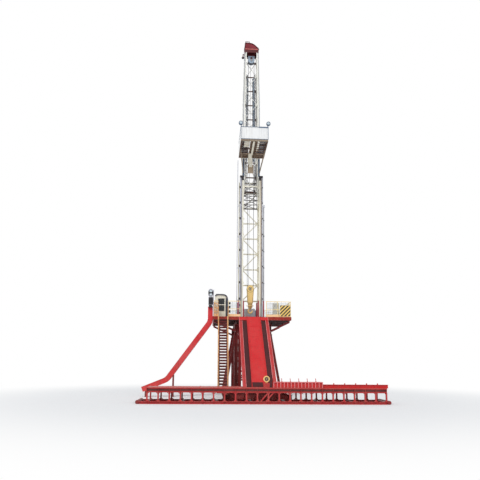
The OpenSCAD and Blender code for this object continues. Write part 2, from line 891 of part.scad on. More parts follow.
module lower_mast_back() {
    x = lower_inner_x - seat;
    color(cream) rig() keep([-x, 0, floor_z], [x, lower_y + 200, lower_top]) {
        for (i = [0 : lower_panels]) {
            z = first_node + i * panel_h;
            bar([-x - 1, lower_y, z], [x + 1, lower_y, z], bar_t, 120);
            if (i < lower_panels) {
                s = i % 2 == 0 ? 1 : -1;
                bar([-s * x, lower_y, z], [s * x, lower_y, z + panel_h], bar_t, bar_t);
            }
        }
        bar([-x - 1, lower_y, lower_top - 80], [x + 1, lower_y, lower_top - 80], bar_t, 160);
    }
}

// Half width and half depth to the leg middles at a height of the upper section
function share(z) = z < taper_z ? 0 : (z - taper_z) / (mast_top - taper_z);
function leg_mid_x(z) = upper_x + (crown_x - upper_x) * share(z);
function leg_mid_y(z) = upper_y + (crown_y - upper_y) * share(z);

module upper_side() {
    over = mast_top + 40;
    keep([0, -upper_d, upper_foot], [upper_w, upper_d, mast_top]) {
        for (s = [-1, 1]) {
            h_post([upper_x, s * upper_y, upper_foot], [upper_x, s * upper_y, taper_z + 4],
                   upper_leg_w, upper_leg_d, 20, 14);
            h_post([upper_x, s * upper_y, taper_z], [leg_mid_x(over), s * leg_mid_y(over), over],
                   upper_leg_w, upper_leg_d, 20, 14);
        }
        for (i = [0 : upper_panels]) {
            z = upper_first + i * panel_h;
            x = leg_mid_x(z);
            y = leg_mid_y(z);
            bar([x, -y, z], [x, y, z], 70, 70);
            if (i < upper_panels) {
                s = i % 2 == 0 ? 1 : -1;
                z2 = z + panel_h;
                bar([x, -s * y, z], [leg_mid_x(z2), s * leg_mid_y(z2), z2], 60, 60);
            }
        }
    }
}

module upper_mast_left() {
    color(cream) rig() mirror([1, 0, 0]) upper_side();
}

module upper_mast_right() {
    color(cream) rig() upper_side();
}

// Bars of the upper back stop just short of the legs' inner flanges
function upper_inner_x(z) = leg_mid_x(z) - upper_leg_w / 2 - 3 * seat;

module upper_mast_back() {
    h = 90;
    color(cream) rig() for (i = [0 : upper_panels]) {
        z = upper_first + i * panel_h;
        x = upper_inner_x(z + h / 2);
        bar([-x, leg_mid_y(z), z], [x, leg_mid_y(z), z], 60, h);
        if (i < upper_panels) {
            s = i % 2 == 0 ? 1 : -1;
            z2 = z + panel_h;
            x2 = upper_inner_x(z2) - 60;
            bar([-s * (x - 60), leg_mid_y(z), z], [s * x2, leg_mid_y(z2), z2], 50, 60);
        }
    }
}

// Lock blocks that fill the gap between lower and upper legs
module mast_locks() {
    gap = (lower_d - 2 * lower_leg_d - upper_d) / 2;
    x0 = lower_inner_x - 20;
    x1 = lower_x - bar_t / 2 - seat;
    y0 = upper_d / 2 + seat;
    color(dark) rig() both_sides() for (s = [-1, 1], z = [upper_foot + 60, lower_top - 460])
        translate([x0, s > 0 ? y0 : -y0 - gap + 2 * seat, z]) cube([x1 - x0, gap - 2 * seat, 420]);
}

ladder_off = 150;

module mast_ladder() {
    x = -lower_w / 2 - ladder_off;
    half = 200;
    top = board_z - 200;
    rungs = floor((top - floor_z - 150) / 300);
    color(grey) rig() {
        for (s = [-1, 1]) {
            bar([x, s * half, floor_z], [x, s * half, top], 50, 50);
            for (i = [0 : 2 : lower_panels], z = first_node + i * panel_h)
                bar([x, s * half, z], [-lower_x - bar_t / 2 - seat, s * half, z], 40, 40);
        }
        for (i = [1 : rungs]) rod([x, -half, floor_z + i * 300], [x, half, floor_z + i * 300], 13, 6);
    }
}

pipe_r = 60;
pipe_off = 110;
pipe_back = 400;
pipe_top = 17000;
pipe_bend = 260;
pipe_panels = floor((pipe_top - first_node) / panel_h);

module standpipe() {
    x = lower_w / 2 + pipe_off;
    y = -lower_y + pipe_back;
    color(grey) rig() {
        rod([x, y, floor_z], [x, y, pipe_top + pipe_r / 2], pipe_r, 24);
        translate([x, y - pipe_bend, pipe_top]) rotate([90, 0, 90])
            rotate_extrude(angle = 180) translate([pipe_bend, 0]) circle(r = pipe_r + 5, $fn = 24);
        for (i = [1 : 2 : pipe_panels], z = first_node + i * panel_h)
            bar([lower_x + bar_t / 2 + seat, y, z], [x, y, z], 50, 60);
    }
}

// Racking board
board_t = 150;
arm_w = 90;
dive_w = 620;
dive_end = 800;
walk_d = 900;
strut_out = 2000;
strut_drop = 1500;

module racking_board() {
    half = board_w / 2;
    z = board_z - board_t;
    y_mast = -upper_d / 2 - seat;
    plate = 25;
    color(grey) rig() {
        both_sides() {
            translate([half - arm_w, -board_front, z]) cube([arm_w, board_front + y_mast, board_t]);
        }
        translate([-half, -board_front, z]) cube([board_w, arm_w, board_t]);
        translate([-half, y_mast - 100, z]) cube([board_w, 100, board_t]);
        translate([-half, y_mast - walk_d, z]) cube([board_w, 100, board_t]);
        translate([-dive_w / 2, -board_front, board_z - plate]) cube([dive_w, board_front - dive_end, plate]);
        for (x = [-dive_w / 2, dive_w / 2 - 60])
            translate([x, -board_front, z]) cube([60, board_front + y_mast, board_t]);
        translate([-half, y_mast - walk_d, board_z - plate]) cube([board_w, walk_d, plate]);
        both_sides() keep([0, -board_front, lower_top], [half, y_mast, z + 10])
            bar([upper_w / 2 - 60, y_mast + 50, z - strut_drop], [half - 60, y_mast - strut_out, z + 60], 80, 100);
    }
}

finger_in = 160;
finger_end = 1100;

module racking_fingers() {
    half = board_w / 2 - arm_w - seat;
    y0 = -board_front + arm_w + finger_in;
    y1 = -upper_d / 2 - finger_end;
    step = (y1 - y0) / fingers;
    color(dark) rig() both_sides() {
        translate([half - 60, y0 - 60, board_z - 110]) cube([60, y1 - y0 + 120, 100]);
        for (i = [0 : fingers])
            translate([dive_w / 2 + 90, y0 + i * step - 25, board_z - 110])
                cube([half - dive_w / 2 - 100, 50, 100]);
    }
}

module wind_wall() {
    t = 30;
    half = board_w / 2;
    color(white) rig() {
        translate([-half, -board_front, board_z]) cube([board_w, t, wind_h]);
        both_sides() translate([half - t, -board_front + t + seat, board_z])
            cube([t, board_front - upper_d / 2 - t - 300, wind_h]);
    }
}

board_lamp_r = 175;
board_lamp_d = 160;
board_lamp_up = 190;

// Two round lamps on short posts at the corners of the wind wall
module board_lamps() {
    base = board_z + wind_h + seat;
    color(dark) rig() both_sides() {
        translate([board_w / 2 + 20, -board_front + board_lamp_d, base + board_lamp_up + board_lamp_r])
            rotate([90, 0, 0]) cylinder(r = board_lamp_r, h = board_lamp_d);
        translate([board_w / 2 - post_t, -board_front + 50, base]) cube([post_t, post_t, board_lamp_up + post_t]);
    }
}

// Crown
crown_beam = 300;
hang_y = crown_pitch * 1.5 + sheave_t / 2 + 8;
hang_t = 24;
winch_x = -crown_w / 2 - 130;
winch_z = mast_top - 260;
winch_r = 130;
winch_pin = 40;
fast_r = 200;
fast_y = crown_d / 2 + 90 - fast_r;
fast_z = mast_top + crown_beam + fast_r + sheave_rim + 12;

module sheave(r, t, bore) {
    rotate([90, 0, 0]) difference() {
        translate([0, 0, -t / 2]) cylinder(r = r + sheave_rim, h = t);
        translate([0, 0, -t / 2 - 1]) cylinder(r = bore, h = t + 2);
        rotate_extrude() translate([r, 0]) circle(r = rope_r + seat);
        rotate_extrude() translate([r, -rope_r - seat]) square([sheave_rim + 1, 2 * (rope_r + seat)]);
    }
}

module crown_frame() {
    x = crown_w / 2;
    y = crown_d / 2;
    z = mast_top;
    color(red) rig() {
        for (s = [-1, 1]) {
            translate([-x, s * (y - 60) - 60, z]) cube([2 * x, 120, crown_beam]);
            translate([s * (x - 60) - 60, -y, z]) cube([120, 2 * y, crown_beam]);
            translate([-x, s * (hang_y + hang_t + seat + 15) - 15, z]) cube([2 * x, 30, crown_beam]);
        }
        for (s = [-1, 1])
            translate([s * 48 - 8, fast_y - 60, z + crown_beam - 1]) cube([16, 130, fast_z - z - crown_beam + 60]);
        rod([-56, fast_y, fast_z], [56, fast_y, fast_z], 26, 24);
        translate([0, fast_y, fast_z]) rotate(90) sheave(fast_r, sheave_t, 25);
        translate([winch_x - 40, -40, winch_z - 40]) cube([80, 20, 300]);
        translate([winch_x - 40, -40, z]) cube([-winch_x + 40 - x + 10, 20, 100]);
        rod([winch_x, -40, winch_z], [winch_x, 40, winch_z], winch_pin / 2, 32);
        rod([winch_x, 20 + seat, winch_z], [winch_x, 40, winch_z], winch_pin / 2 + 12, 32);
    }
}

// The round-ended plates that carry the crown sheaves between them
module crown_hanger() {
    r = sheave_r + sheave_rim + 12;
    top = mast_top + crown_beam - 20;
    color(white) rig() {
        for (s = [-1, 1]) translate([0, s * (hang_y + hang_t / 2) + hang_t / 2, crown_z]) rotate([90, 0, 0])
            difference() {
                union() {
                    cylinder(r = r, h = hang_t);
                    translate([-r, 0, 0]) cube([2 * r, top - crown_z, hang_t]);
                }
                translate([0, 210, -1]) cylinder(r = 75, h = hang_t + 2, $fn = 32);
            }
        rod([0, -hang_y - hang_t - 20, crown_z], [0, hang_y + hang_t + 20, crown_z], pin_d / 2, 48);
    }
}

module crown_cover() {
    x = crown_w / 2;
    y0 = -crown_d / 2;
    depth = crown_d * 0.62;
    base = mast_top + crown_beam;
    top = 700;
    wall = 16;
    outline = [
        [-x, 0], [x, 0], [x - 40, 150], [x - 420, 500],
        [x - 700, top - 50], [-x + 120, top], [-x + 60, top - 60]
    ];
    color(red) rig() translate([0, y0 + depth, base]) rotate([90, 0, 0]) difference() {
        linear_extrude(depth) polygon(outline);
        translate([0, 0, wall]) linear_extrude(depth - 2 * wall) scale(0.95)
            polygon(outline);
    }
}

module crown_sheaves() {
    color(grey) rig() for (i = [0 : block_sheave_count])
        translate([0, (i - block_sheave_count / 2) * crown_pitch, crown_z])
            sheave(sheave_r, sheave_t, pin_d / 2 + pin_fit);
}

// The small sheave of the winch line, outboard of the crown
module winch_sheave() {
    color(dark) rig() translate([winch_x, 0, winch_z]) sheave(winch_r - sheave_rim, 38, winch_pin / 2 + pin_fit);
}

// Each block sheave hangs on two parts of line
module drilling_lines() {
    color(dark) rig() for (i = [0 : block_sheave_count - 1], s = [-1, 1]) {
        low = [s * sheave_r, (i - (block_sheave_count - 1) / 2) * block_pitch, block_z];
        high = [s * sheave_r, (i + (1 - s) / 2 - block_sheave_count / 2) * crown_pitch, crown_z];
        rod(low, high, rope_r - 0.4, 12);
    }
}

drum_y = 2650;
drum_z = floor_z + 900;
drum_r = 330;

// The line that leaves the back of the crown for the hoist drum
module fast_line() {
    far = fast_y + fast_r;
    slant = atan2(drum_y - drum_r - far, fast_z - drum_z);
    color(dark) rig()
        rod([0, far, fast_z], [0, drum_y - (drum_r + rope_r + seat) / cos(slant), drum_z], rope_r, 24);
}

// Hoisting gear
cheek_y = block_pitch + sheave_t / 2 + 6;
cheek_t = 30;
block_low = 8100;

function block_side(r) = concat(
    [for (a = [-20 : 20 : 200]) [r * cos(a), r * sin(a)]],
    [[-240, block_low - block_z + 120], [-200, block_low - block_z]],
    [[200, block_low - block_z], [240, block_low - block_z + 120]]
);

shank_r = 50;
head_h = 260;

module travelling_block() {
    color(yellow) rig() translate([0, 0, block_z]) difference() {
        union() {
            for (s = [-1, 1])
                translate([0, s * (cheek_y + cheek_t / 2) + cheek_t / 2, 0]) rotate([90, 0, 0])
                    linear_extrude(cheek_t) polygon(block_side(sheave_r + 55));
            rod([0, -cheek_y - cheek_t - 16, 0], [0, cheek_y + cheek_t + 16, 0], pin_d / 2, 48);
            translate([-190, -cheek_y - 1, block_low - block_z]) cube([380, 2 * cheek_y + 2, head_h]);
        }
        translate([0, 0, block_low - block_z - 1]) cylinder(r = shank_r + pin_fit, h = head_h + 2);
    }
}

module block_sheaves() {
    color(grey) rig() for (i = [0 : block_sheave_count - 1])
        translate([0, (i - (block_sheave_count - 1) / 2) * block_pitch, block_z])
            sheave(sheave_r, sheave_t, pin_d / 2 + pin_fit);
}

module hook() {
    r = 180;
    wire = 68;
    hook_z = block_low - 650;
    color(yellow) rig() {
        translate([0, 0, block_low + head_h + seat]) cylinder(r = 85, h = 70);
        translate([0, 0, block_low - 100]) cylinder(r = shank_r, h = head_h + 120);
        translate([0, 0, block_low - seat - 330]) cylinder(r = 185, h = 330);
        translate([0, 0, block_low - 500]) cylinder(r = 85, h = 200);
        translate([0, 0, hook_z]) rotate([90, 0, 0]) rotate([0, 0, 90])
            rotate_extrude(angle = 270) translate([r, 0]) circle(r = wire, $fn = 24);
        translate([r, 0, hook_z]) sphere(r = wire, $fn = 24);
    }
}

module drawworks() {
    w = 700;
    color(grey) rig() {
        rod([-w, drum_y, drum_z], [w, drum_y, drum_z], 70, 24);
        rod([-w + 160, drum_y, drum_z], [w - 160, drum_y, drum_z], drum_r, 48);
        for (s = [-1, 1]) {
            rod([s * (w - 130), drum_y, drum_z], [s * (w - 160), drum_y, drum_z], drum_r + 150, 48);
            translate([s * w - 30, drum_y - 450, floor_z]) cube([60, 900, 1150]);
        }
        for (y = [drum_y - 450, drum_y + 370])
            translate([-w, y, floor_z]) cube([2 * w, 80, 100]);
    }
}

// A small return sheave that stands on the platform beside the ramp's foot
module ramp_sheave() {
    r = 220;
    wide = 60;
    web = 16;
    z = stand_top + r + 60;
    color(yellow) rig() translate([sheave_x, sheave_y, 0]) {
        translate([-wide, wide / 2 + 4, stand_top + seat]) cube([2 * wide, 20, r + 120]);
        translate([0, 0, z]) rotate([90, 0, 0]) difference() {
            translate([0, 0, -wide / 2]) cylinder(r = r, h = wide);
            for (s = [-1, 1]) translate([0, 0, s * (wide + web) / 2 - wide / 2]) cylinder(r = r - 90, h = wide);
        }
        rod([0, -wide / 2 - 10, z], [0, wide / 2 + 10, z], 40, 24);
    }
}

platform_front_truss();
platform_back_truss();
platform_cross_beams();
platform_deck();
raised_deck();
pipe_rest_beam();
base_frame();
front_leg_frame();
back_leg_frame();
side_braces();
floor_beams();
floor_edge();
drill_floor();
rotary_table();
front_rails();
side_rails();
back_rail();
hazard_panel();
tool_cabinet();
stair_stringers();
stair_treads();
stair_rails();
stair_landing();
ramp_frame();
ramp_sides();
ramp_plate();
escape_slide();
slide_legs();
booth_shell();
booth_front();
booth_glass();
lamp_post();
mast_base();
lower_mast_left();
lower_mast_right();
lower_mast_back();
upper_mast_left();
upper_mast_right();
upper_mast_back();
mast_locks();
mast_ladder();
standpipe();
racking_board();
racking_fingers();
wind_wall();
board_lamps();
crown_frame();
crown_hanger();
crown_cover();
crown_sheaves();
drilling_lines();
winch_sheave();
fast_line();
travelling_block();
block_sheaves();
hook();
drawworks();
ramp_sheave();
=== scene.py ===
# Land drilling rig on a plain studio floor. The frame gives the solids, this
# script paints them and adds the plates, bolts, meshes and wire ropes.
import bpy
import bmesh
from math import atan2, cos, hypot, pi, radians, sin
from mathutils import Matrix, Vector


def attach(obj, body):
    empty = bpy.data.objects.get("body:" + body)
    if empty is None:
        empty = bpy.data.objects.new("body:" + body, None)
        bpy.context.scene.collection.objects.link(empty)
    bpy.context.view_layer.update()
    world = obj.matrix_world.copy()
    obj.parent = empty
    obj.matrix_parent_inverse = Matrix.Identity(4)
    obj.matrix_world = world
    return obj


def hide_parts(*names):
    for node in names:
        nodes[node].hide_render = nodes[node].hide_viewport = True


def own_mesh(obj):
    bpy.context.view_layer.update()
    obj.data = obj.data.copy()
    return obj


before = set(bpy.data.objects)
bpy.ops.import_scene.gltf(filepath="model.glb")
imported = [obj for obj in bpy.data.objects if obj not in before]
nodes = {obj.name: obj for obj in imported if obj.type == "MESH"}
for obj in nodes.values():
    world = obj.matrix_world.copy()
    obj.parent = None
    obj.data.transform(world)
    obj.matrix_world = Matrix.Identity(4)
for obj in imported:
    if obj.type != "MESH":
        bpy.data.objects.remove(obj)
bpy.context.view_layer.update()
print("frame loaded:", len(nodes), "nodes")

# Every measure in the dictionaries below is in millimetres from the well axis,
# sideways, back and up from the ground.
rigSpot = {"wellX": 0.05, "wellY": 3.375}


def spot(x, y, z):
    return Vector((x / 1000 + rigSpot["wellX"], y / 1000 + rigSpot["wellY"], z / 1000))


# Camera, light and floor
camera = {"place": (-3.35, -40.625, 2.75), "turn": 3.2, "pitch": 8.8, "lean": 0.44,
          "lens": 36.45, "sensor": 36, "reach": 500, "shiftUp": 0.10}
light = {"key": {"power": 1.4, "soft": 16, "tilt": 42, "side": -28},
         "fill": {"power": 0.3, "soft": 60, "tilt": 60, "side": 50},
         "sky": 0.6, "skyTone": (0.93, 0.96, 1, 1), "backdrop": 1.0}
floor = {"half": 220, "clear": 13, "fade": 30, "grey": 0.86}


def placeCamera():
    data = bpy.data.cameras.new("rigCamera")
    data.lens = camera["lens"]
    data.sensor_width = camera["sensor"]
    data.clip_end = camera["reach"]
    data.shift_y = camera["shiftUp"]
    cam = bpy.data.objects.new("rigCamera", data)
    bpy.context.scene.collection.objects.link(cam)
    aim = (Matrix.Rotation(radians(-camera["turn"]), 4, "Z")
           @ Matrix.Rotation(radians(90 + camera["pitch"]), 4, "X")
           @ Matrix.Rotation(radians(camera["lean"]), 4, "Z"))
    cam.matrix_world = Matrix.Translation(camera["place"]) @ aim
    bpy.context.scene.camera = cam


def addSun(name, power, soft, tilt, side):
    data = bpy.data.lights.new(name, "SUN")
    data.energy = power
    data.angle = radians(soft)
    lamp = bpy.data.objects.new(name, data)
    lamp.rotation_euler = (radians(tilt), 0, radians(side))
    bpy.context.scene.collection.objects.link(lamp)


def whiteBackdrop():
    world = bpy.data.worlds.new("studio")
    world.use_nodes = True
    tree = world.node_tree
    tree.nodes.clear()
    out = tree.nodes.new("ShaderNodeOutputWorld")
    seen = tree.nodes.new("ShaderNodeBackground")
    lit = tree.nodes.new("ShaderNodeBackground")
    mix = tree.nodes.new("ShaderNodeMixShader")
    path = tree.nodes.new("ShaderNodeLightPath")
    cameraOrGloss = tree.nodes.new("ShaderNodeMath")
    through = tree.nodes.new("ShaderNodeMath")
    cameraOrGloss.operation = "MAXIMUM"
    through.operation = "MAXIMUM"
    seen.inputs["Color"].default_value = (1, 1, 1, 1)
    seen.inputs["Strength"].default_value = light["backdrop"]
    lit.inputs["Color"].default_value = light["skyTone"]
    lit.inputs["Strength"].default_value = light["sky"]
    tree.links.new(path.outputs["Is Camera Ray"], cameraOrGloss.inputs[0])
    tree.links.new(path.outputs["Is Glossy Ray"], cameraOrGloss.inputs[1])
    tree.links.new(cameraOrGloss.outputs[0], through.inputs[0])
    tree.links.new(path.outputs["Is Transmission Ray"], through.inputs[1])
    tree.links.new(through.outputs[0], mix.inputs["Fac"])
    tree.links.new(lit.outputs[0], mix.inputs[1])
    tree.links.new(seen.outputs[0], mix.inputs[2])
    tree.links.new(mix.outputs[0], out.inputs["Surface"])
    bpy.context.scene.world = world


def layFloor():
    bm = bmesh.new()
    bmesh.ops.create_grid(bm, x_segments=1, y_segments=1, size=floor["half"])
    mesh = bpy.data.meshes.new("studioFloor")
    bm.to_mesh(mesh)
    bm.free()
    ground = bpy.data.objects.new("studioFloor", mesh)
    bpy.context.scene.collection.objects.link(ground)
    mat = bpy.data.materials.new("studioFloor")
    mat.use_nodes = True
    tree = mat.node_tree
    shader = tree.nodes["Principled BSDF"]
    shader.inputs["Base Color"].default_value = (*[floor["grey"]] * 3, 1)
    shader.inputs["Roughness"].default_value = 1
    shader.inputs["Specular IOR Level"].default_value = 0
    # Far from the rig the floor runs out into the white of the backdrop
    place = tree.nodes.new("ShaderNodeTexCoord")
    away = tree.nodes.new("ShaderNodeVectorMath")
    away.operation = "LENGTH"
    fade = tree.nodes.new("ShaderNodeMapRange")
    fade.interpolation_type = "SMOOTHSTEP"
    fade.inputs["From Min"].default_value = floor["clear"]
    fade.inputs["From Max"].default_value = floor["fade"]
    path = tree.nodes.new("ShaderNodeLightPath")
    seen = tree.nodes.new("ShaderNodeMath")
    seen.operation = "MULTIPLY"
    glow = tree.nodes.new("ShaderNodeEmission")
    mix = tree.nodes.new("ShaderNodeMixShader")
    tree.links.new(place.outputs["Object"], away.inputs[0])
    tree.links.new(away.outputs["Value"], fade.inputs["Value"])
    tree.links.new(fade.outputs["Result"], seen.inputs[0])
    tree.links.new(path.outputs["Is Camera Ray"], seen.inputs[1])
    tree.links.new(seen.outputs[0], mix.inputs["Fac"])
    tree.links.new(shader.outputs[0], mix.inputs[1])
    tree.links.new(glow.outputs[0], mix.inputs[2])
    tree.links.new(mix.outputs[0], tree.nodes["Material Output"].inputs["Surface"])
    mesh.materials.append(mat)


placeCamera()
addSun("keySun", **light["key"])
addSun("fillSun", **light["fill"])
whiteBackdrop()
layFloor()
bpy.context.scene.view_settings.view_transform = "Standard"
print("camera, light and floor set")


# Paint tones are written as they look on screen, from 0 to 255
def colour(red, green, blue):
    def linear(value):
        value /= 255
        return value / 12.92 if value <= 0.04045 else ((value + 0.055) / 1.055) ** 2.4
    return (linear(red), linear(green), linear(blue), 1)


# Shared effects of the finishes, each a node group
def startGroup(name, ins, outs):
    group = bpy.data.node_groups.new(name, "ShaderNodeTree")
    for label, kind, value in ins:
        made = group.interface.new_socket(label, in_out="INPUT", socket_type="NodeSocket" + kind)
        if value is not None:
            made.default_value = value
    for label, kind in outs:
        group.interface.new_socket(label, in_out="OUTPUT", socket_type="NodeSocket" + kind)
    return group, group.nodes.new("NodeGroupInput"), group.nodes.new("NodeGroupOutput")


def noiseIn(group, vector, scale, detail, stretch=None, seed=0.0):
    source = vector
    if stretch:
        mapping = group.nodes.new("ShaderNodeMapping")
        mapping.inputs["Scale"].default_value = stretch
        mapping.inputs["Location"].default_value = (seed, seed * 1.7, seed * 0.6)
        group.links.new(vector, mapping.inputs["Vector"])
        source = mapping.outputs["Vector"]
    noise = group.nodes.new("ShaderNodeTexNoise")
    noise.inputs["Scale"].default_value = scale
    noise.inputs["Detail"].default_value = detail
    group.links.new(source, noise.inputs["Vector"])
    return noise.outputs["Fac"]


def rangeIn(group, value, low, high, to0=0.0, to1=1.0):
    node = group.nodes.new("ShaderNodeMapRange")
    node.interpolation_type = "SMOOTHSTEP"
    node.inputs["To Min"].default_value = to0
    node.inputs["To Max"].default_value = to1
    for socket, given in (("Value", value), ("From Min", low), ("From Max", high)):
        if isinstance(given, (int, float)):
            node.inputs[socket].default_value = given
        else:
            group.links.new(given, node.inputs[socket])
    return node.outputs["Result"]


def mathIn(group, operation, a, b=None):
    node = group.nodes.new("ShaderNodeMath")
    node.operation = operation
    for i, given in enumerate((a, b)):
        if given is None:
            continue
        if isinstance(given, (int, float)):
            node.inputs[i].default_value = given
        else:
            group.links.new(given, node.inputs[i])
    return node.outputs[0]


def mixIn(group, factor, first, second):
    node = group.nodes.new("ShaderNodeMix")
    node.data_type = "RGBA"
    for socket, given in (("Factor", factor), ("A", first), ("B", second)):
        target = [s for s in node.inputs if s.name == socket and s.enabled][0]
        if isinstance(given, (int, float, tuple)):
            target.default_value = given
        else:
            group.links.new(given, target)
    return [s for s in node.outputs if s.enabled][0]


# Outdoor paint: faded patches, rain streaks, rust at the worn spots and dust
# that is thickest near the ground and on faces that look up
def makeWeathering():
    group, given, result = startGroup("weathering", [
        ("Vector", "Vector", None),
        ("Paint", "Color", (1, 1, 1, 1)), ("Faded", "Color", (1, 1, 1, 1)),
        ("Grime", "Color", (0.1, 0.08, 0.07, 1)), ("Rust", "Color", (0.2, 0.07, 0.03, 1)),
        ("Dust", "Color", (0.6, 0.5, 0.4, 1)), ("Fading", "Float", 0.5), ("Streaks", "Float", 0.3),
        ("Rusting", "Float", 0.2), ("Dusting", "Float", 0.3), ("Dust Height", "Float", 6.0),
        ("Gloss", "Float", 0.45)],
        [("Colour", "Color"), ("Roughness", "Float"), ("Height", "Float")])
    vector = given.outputs["Vector"]
    patches = rangeIn(group, noiseIn(group, vector, 0.9, 4, (1, 1, 1), 3.1), 0.38, 0.66)
    faded = mathIn(group, "MULTIPLY", patches, given.outputs["Fading"])
    paint = mixIn(group, faded, given.outputs["Paint"], given.outputs["Faded"])
    runs = rangeIn(group, noiseIn(group, vector, 1.0, 5, (9, 9, 0.45), 7.7), 0.50, 0.74)
    runs = mathIn(group, "MULTIPLY", runs, given.outputs["Streaks"])
    grimed = mixIn(group, runs, paint, given.outputs["Grime"])
    eaten = mathIn(group, "MULTIPLY", given.outputs["Rusting"], 0.3)
    limit = mathIn(group, "SUBTRACT", 0.80, eaten)
    spots = noiseIn(group, vector, 5.0, 8, (1, 1, 0.7), 12.4)
    rusted = rangeIn(group, spots, limit, mathIn(group, "ADD", limit, 0.05))
    rusty = mixIn(group, rusted, grimed, given.outputs["Rust"])
    split = group.nodes.new("ShaderNodeSeparateXYZ")
    group.links.new(vector, split.inputs[0])
    low = rangeIn(group, split.outputs["Z"], 0.0, given.outputs["Dust Height"], 1.0, 0.0)
    facing = group.nodes.new("ShaderNodeNewGeometry")
    lift = group.nodes.new("ShaderNodeSeparateXYZ")
    group.links.new(facing.outputs["Normal"], lift.inputs[0])
    onTop = rangeIn(group, lift.outputs["Z"], 0.3, 0.95)
    where = mathIn(group, "MAXIMUM", low, mathIn(group, "MULTIPLY", onTop, 0.8))
    cloud = rangeIn(group, noiseIn(group, vector, 2.3, 6, (1, 1, 1), 21.0), 0.3, 0.7, 0.35, 1.0)
    dusting = mathIn(group, "MULTIPLY", mathIn(group, "MULTIPLY", where, cloud),
                     given.outputs["Dusting"])
    dusted = mixIn(group, dusting, rusty, given.outputs["Dust"])
    rough = mathIn(group, "ADD", given.outputs["Gloss"], mathIn(group, "MULTIPLY", dusting, 0.4))
    rough = mathIn(group, "ADD", rough, mathIn(group, "MULTIPLY", rusted, 0.3))
    rough = mathIn(group, "ADD", rough, mathIn(group, "MULTIPLY", runs, 0.2))
    rough = mathIn(group, "MINIMUM", rough, 0.97)
    peel = mathIn(group, "MULTIPLY", noiseIn(group, vector, 60.0, 3), 0.25)
    height = mathIn(group, "ADD", peel, mathIn(group, "MULTIPLY", rusted, 0.6))
    group.links.new(dusted, result.inputs["Colour"])
    group.links.new(rough, result.inputs["Roughness"])
    group.links.new(height, result.inputs["Height"])
    return group


# Raised lozenges of tread plate, turned left and right by turns
def makeTreadPlate():
    group, given, result = startGroup("treadPlate",
                                      [("Vector", "Vector", None), ("Pitch", "Float", 30.0)],
                                      [("Height", "Float"), ("Mask", "Float")])
    split = group.nodes.new("ShaderNodeSeparateXYZ")
    group.links.new(given.outputs["Vector"], split.inputs[0])
    pitch = given.outputs["Pitch"]
    waves = []
    for sign in (1, -1):
        x = mathIn(group, "MULTIPLY", split.outputs["X"], pitch)
        y = mathIn(group, "MULTIPLY", split.outputs["Y"], pitch)
        along = mathIn(group, "ADD", x, mathIn(group, "MULTIPLY", y, sign))
        across = mathIn(group, "SUBTRACT", x, mathIn(group, "MULTIPLY", y, sign))
        if sign < 0:
            along = mathIn(group, "ADD", along, pi / 2)
        ripple = mathIn(group, "SINE", mathIn(group, "MULTIPLY", along, 3.0))
        ridge = mathIn(group, "MULTIPLY", ripple, mathIn(group, "SINE", across))
        waves.append(rangeIn(group, ridge, 0.45, 0.75))
    mask = mathIn(group, "MAXIMUM", waves[0], waves[1])
    group.links.new(mask, result.inputs["Height"])
    group.links.new(mask, result.inputs["Mask"])
    return group


# Slanting stripes in two colours, as on barriers
def makeSlantStripes():
    group, given, result = startGroup("slantStripes", [
        ("Vector", "Vector", None), ("Width", "Float", 0.16)], [("Mask", "Float")])
    split = group.nodes.new("ShaderNodeSeparateXYZ")
    group.links.new(given.outputs["Vector"], split.inputs[0])
    slant = mathIn(group, "SUBTRACT", split.outputs["X"], split.outputs["Z"])
    turns = mathIn(group, "DIVIDE", slant, mathIn(group, "MULTIPLY", given.outputs["Width"], 2.0))
    share = mathIn(group, "FRACT", turns)
    group.links.new(mathIn(group, "GREATER_THAN", share, 0.5), result.inputs["Mask"])
    return group


# The lay of a wire rope's strands, from slanting ridges along its height
def makeRopeLay():
    group, given, result = startGroup("ropeLay", [
        ("Vector", "Vector", None), ("Lay", "Float", 140.0)], [("Height", "Float")])
    split = group.nodes.new("ShaderNodeSeparateXYZ")
    group.links.new(given.outputs["Vector"], split.inputs[0])
    side = mathIn(group, "ADD", split.outputs["X"], split.outputs["Y"])
    climb = mathIn(group, "ADD", split.outputs["Z"], mathIn(group, "MULTIPLY", side, 1.2))
    turn = mathIn(group, "MULTIPLY", climb, given.outputs["Lay"])
    ridge = mathIn(group, "ABSOLUTE", mathIn(group, "SINE", turn))
    group.links.new(ridge, result.inputs["Height"])
    return group


weathering = makeWeathering()
treadPlate = makeTreadPlate()
slantStripes = makeSlantStripes()
ropeLay = makeRopeLay()


# Tones and depths that all painted pieces share; lengths here are in metres
wear = {"grime": (70, 58, 52), "rust": (122, 68, 40), "dust": (196, 172, 148), "dustHeight": 7.0,
        "sheen": 0.3, "peel": 0.002, "peelStrength": 0.35, "tread": 0.004, "treadStrength": 0.7}


def startMaterial(name):
    mat = bpy.data.materials.new(name)
    mat.use_nodes = True
    tree = mat.node_tree
    coords = tree.nodes.new("ShaderNodeTexCoord")
    return mat, tree, tree.nodes["Principled BSDF"], coords.outputs["Object"]


def placeGroup(tree, group, **values):
    node = tree.nodes.new("ShaderNodeGroup")
    node.node_tree = group
    for label, value in values.items():
        node.inputs[label.replace("_", " ")].default_value = value
    return node


def bumpFrom(tree, height, distance, strength, shader, under=None):
    bump = tree.nodes.new("ShaderNodeBump")
    bump.inputs["Distance"].default_value = distance
    bump.inputs["Strength"].default_value = strength
    tree.links.new(height, bump.inputs["Height"])
    if under:
        tree.links.new(under, bump.inputs["Normal"])
    tree.links.new(bump.outputs["Normal"], shader.inputs["Normal"])
    return bump.outputs["Normal"]


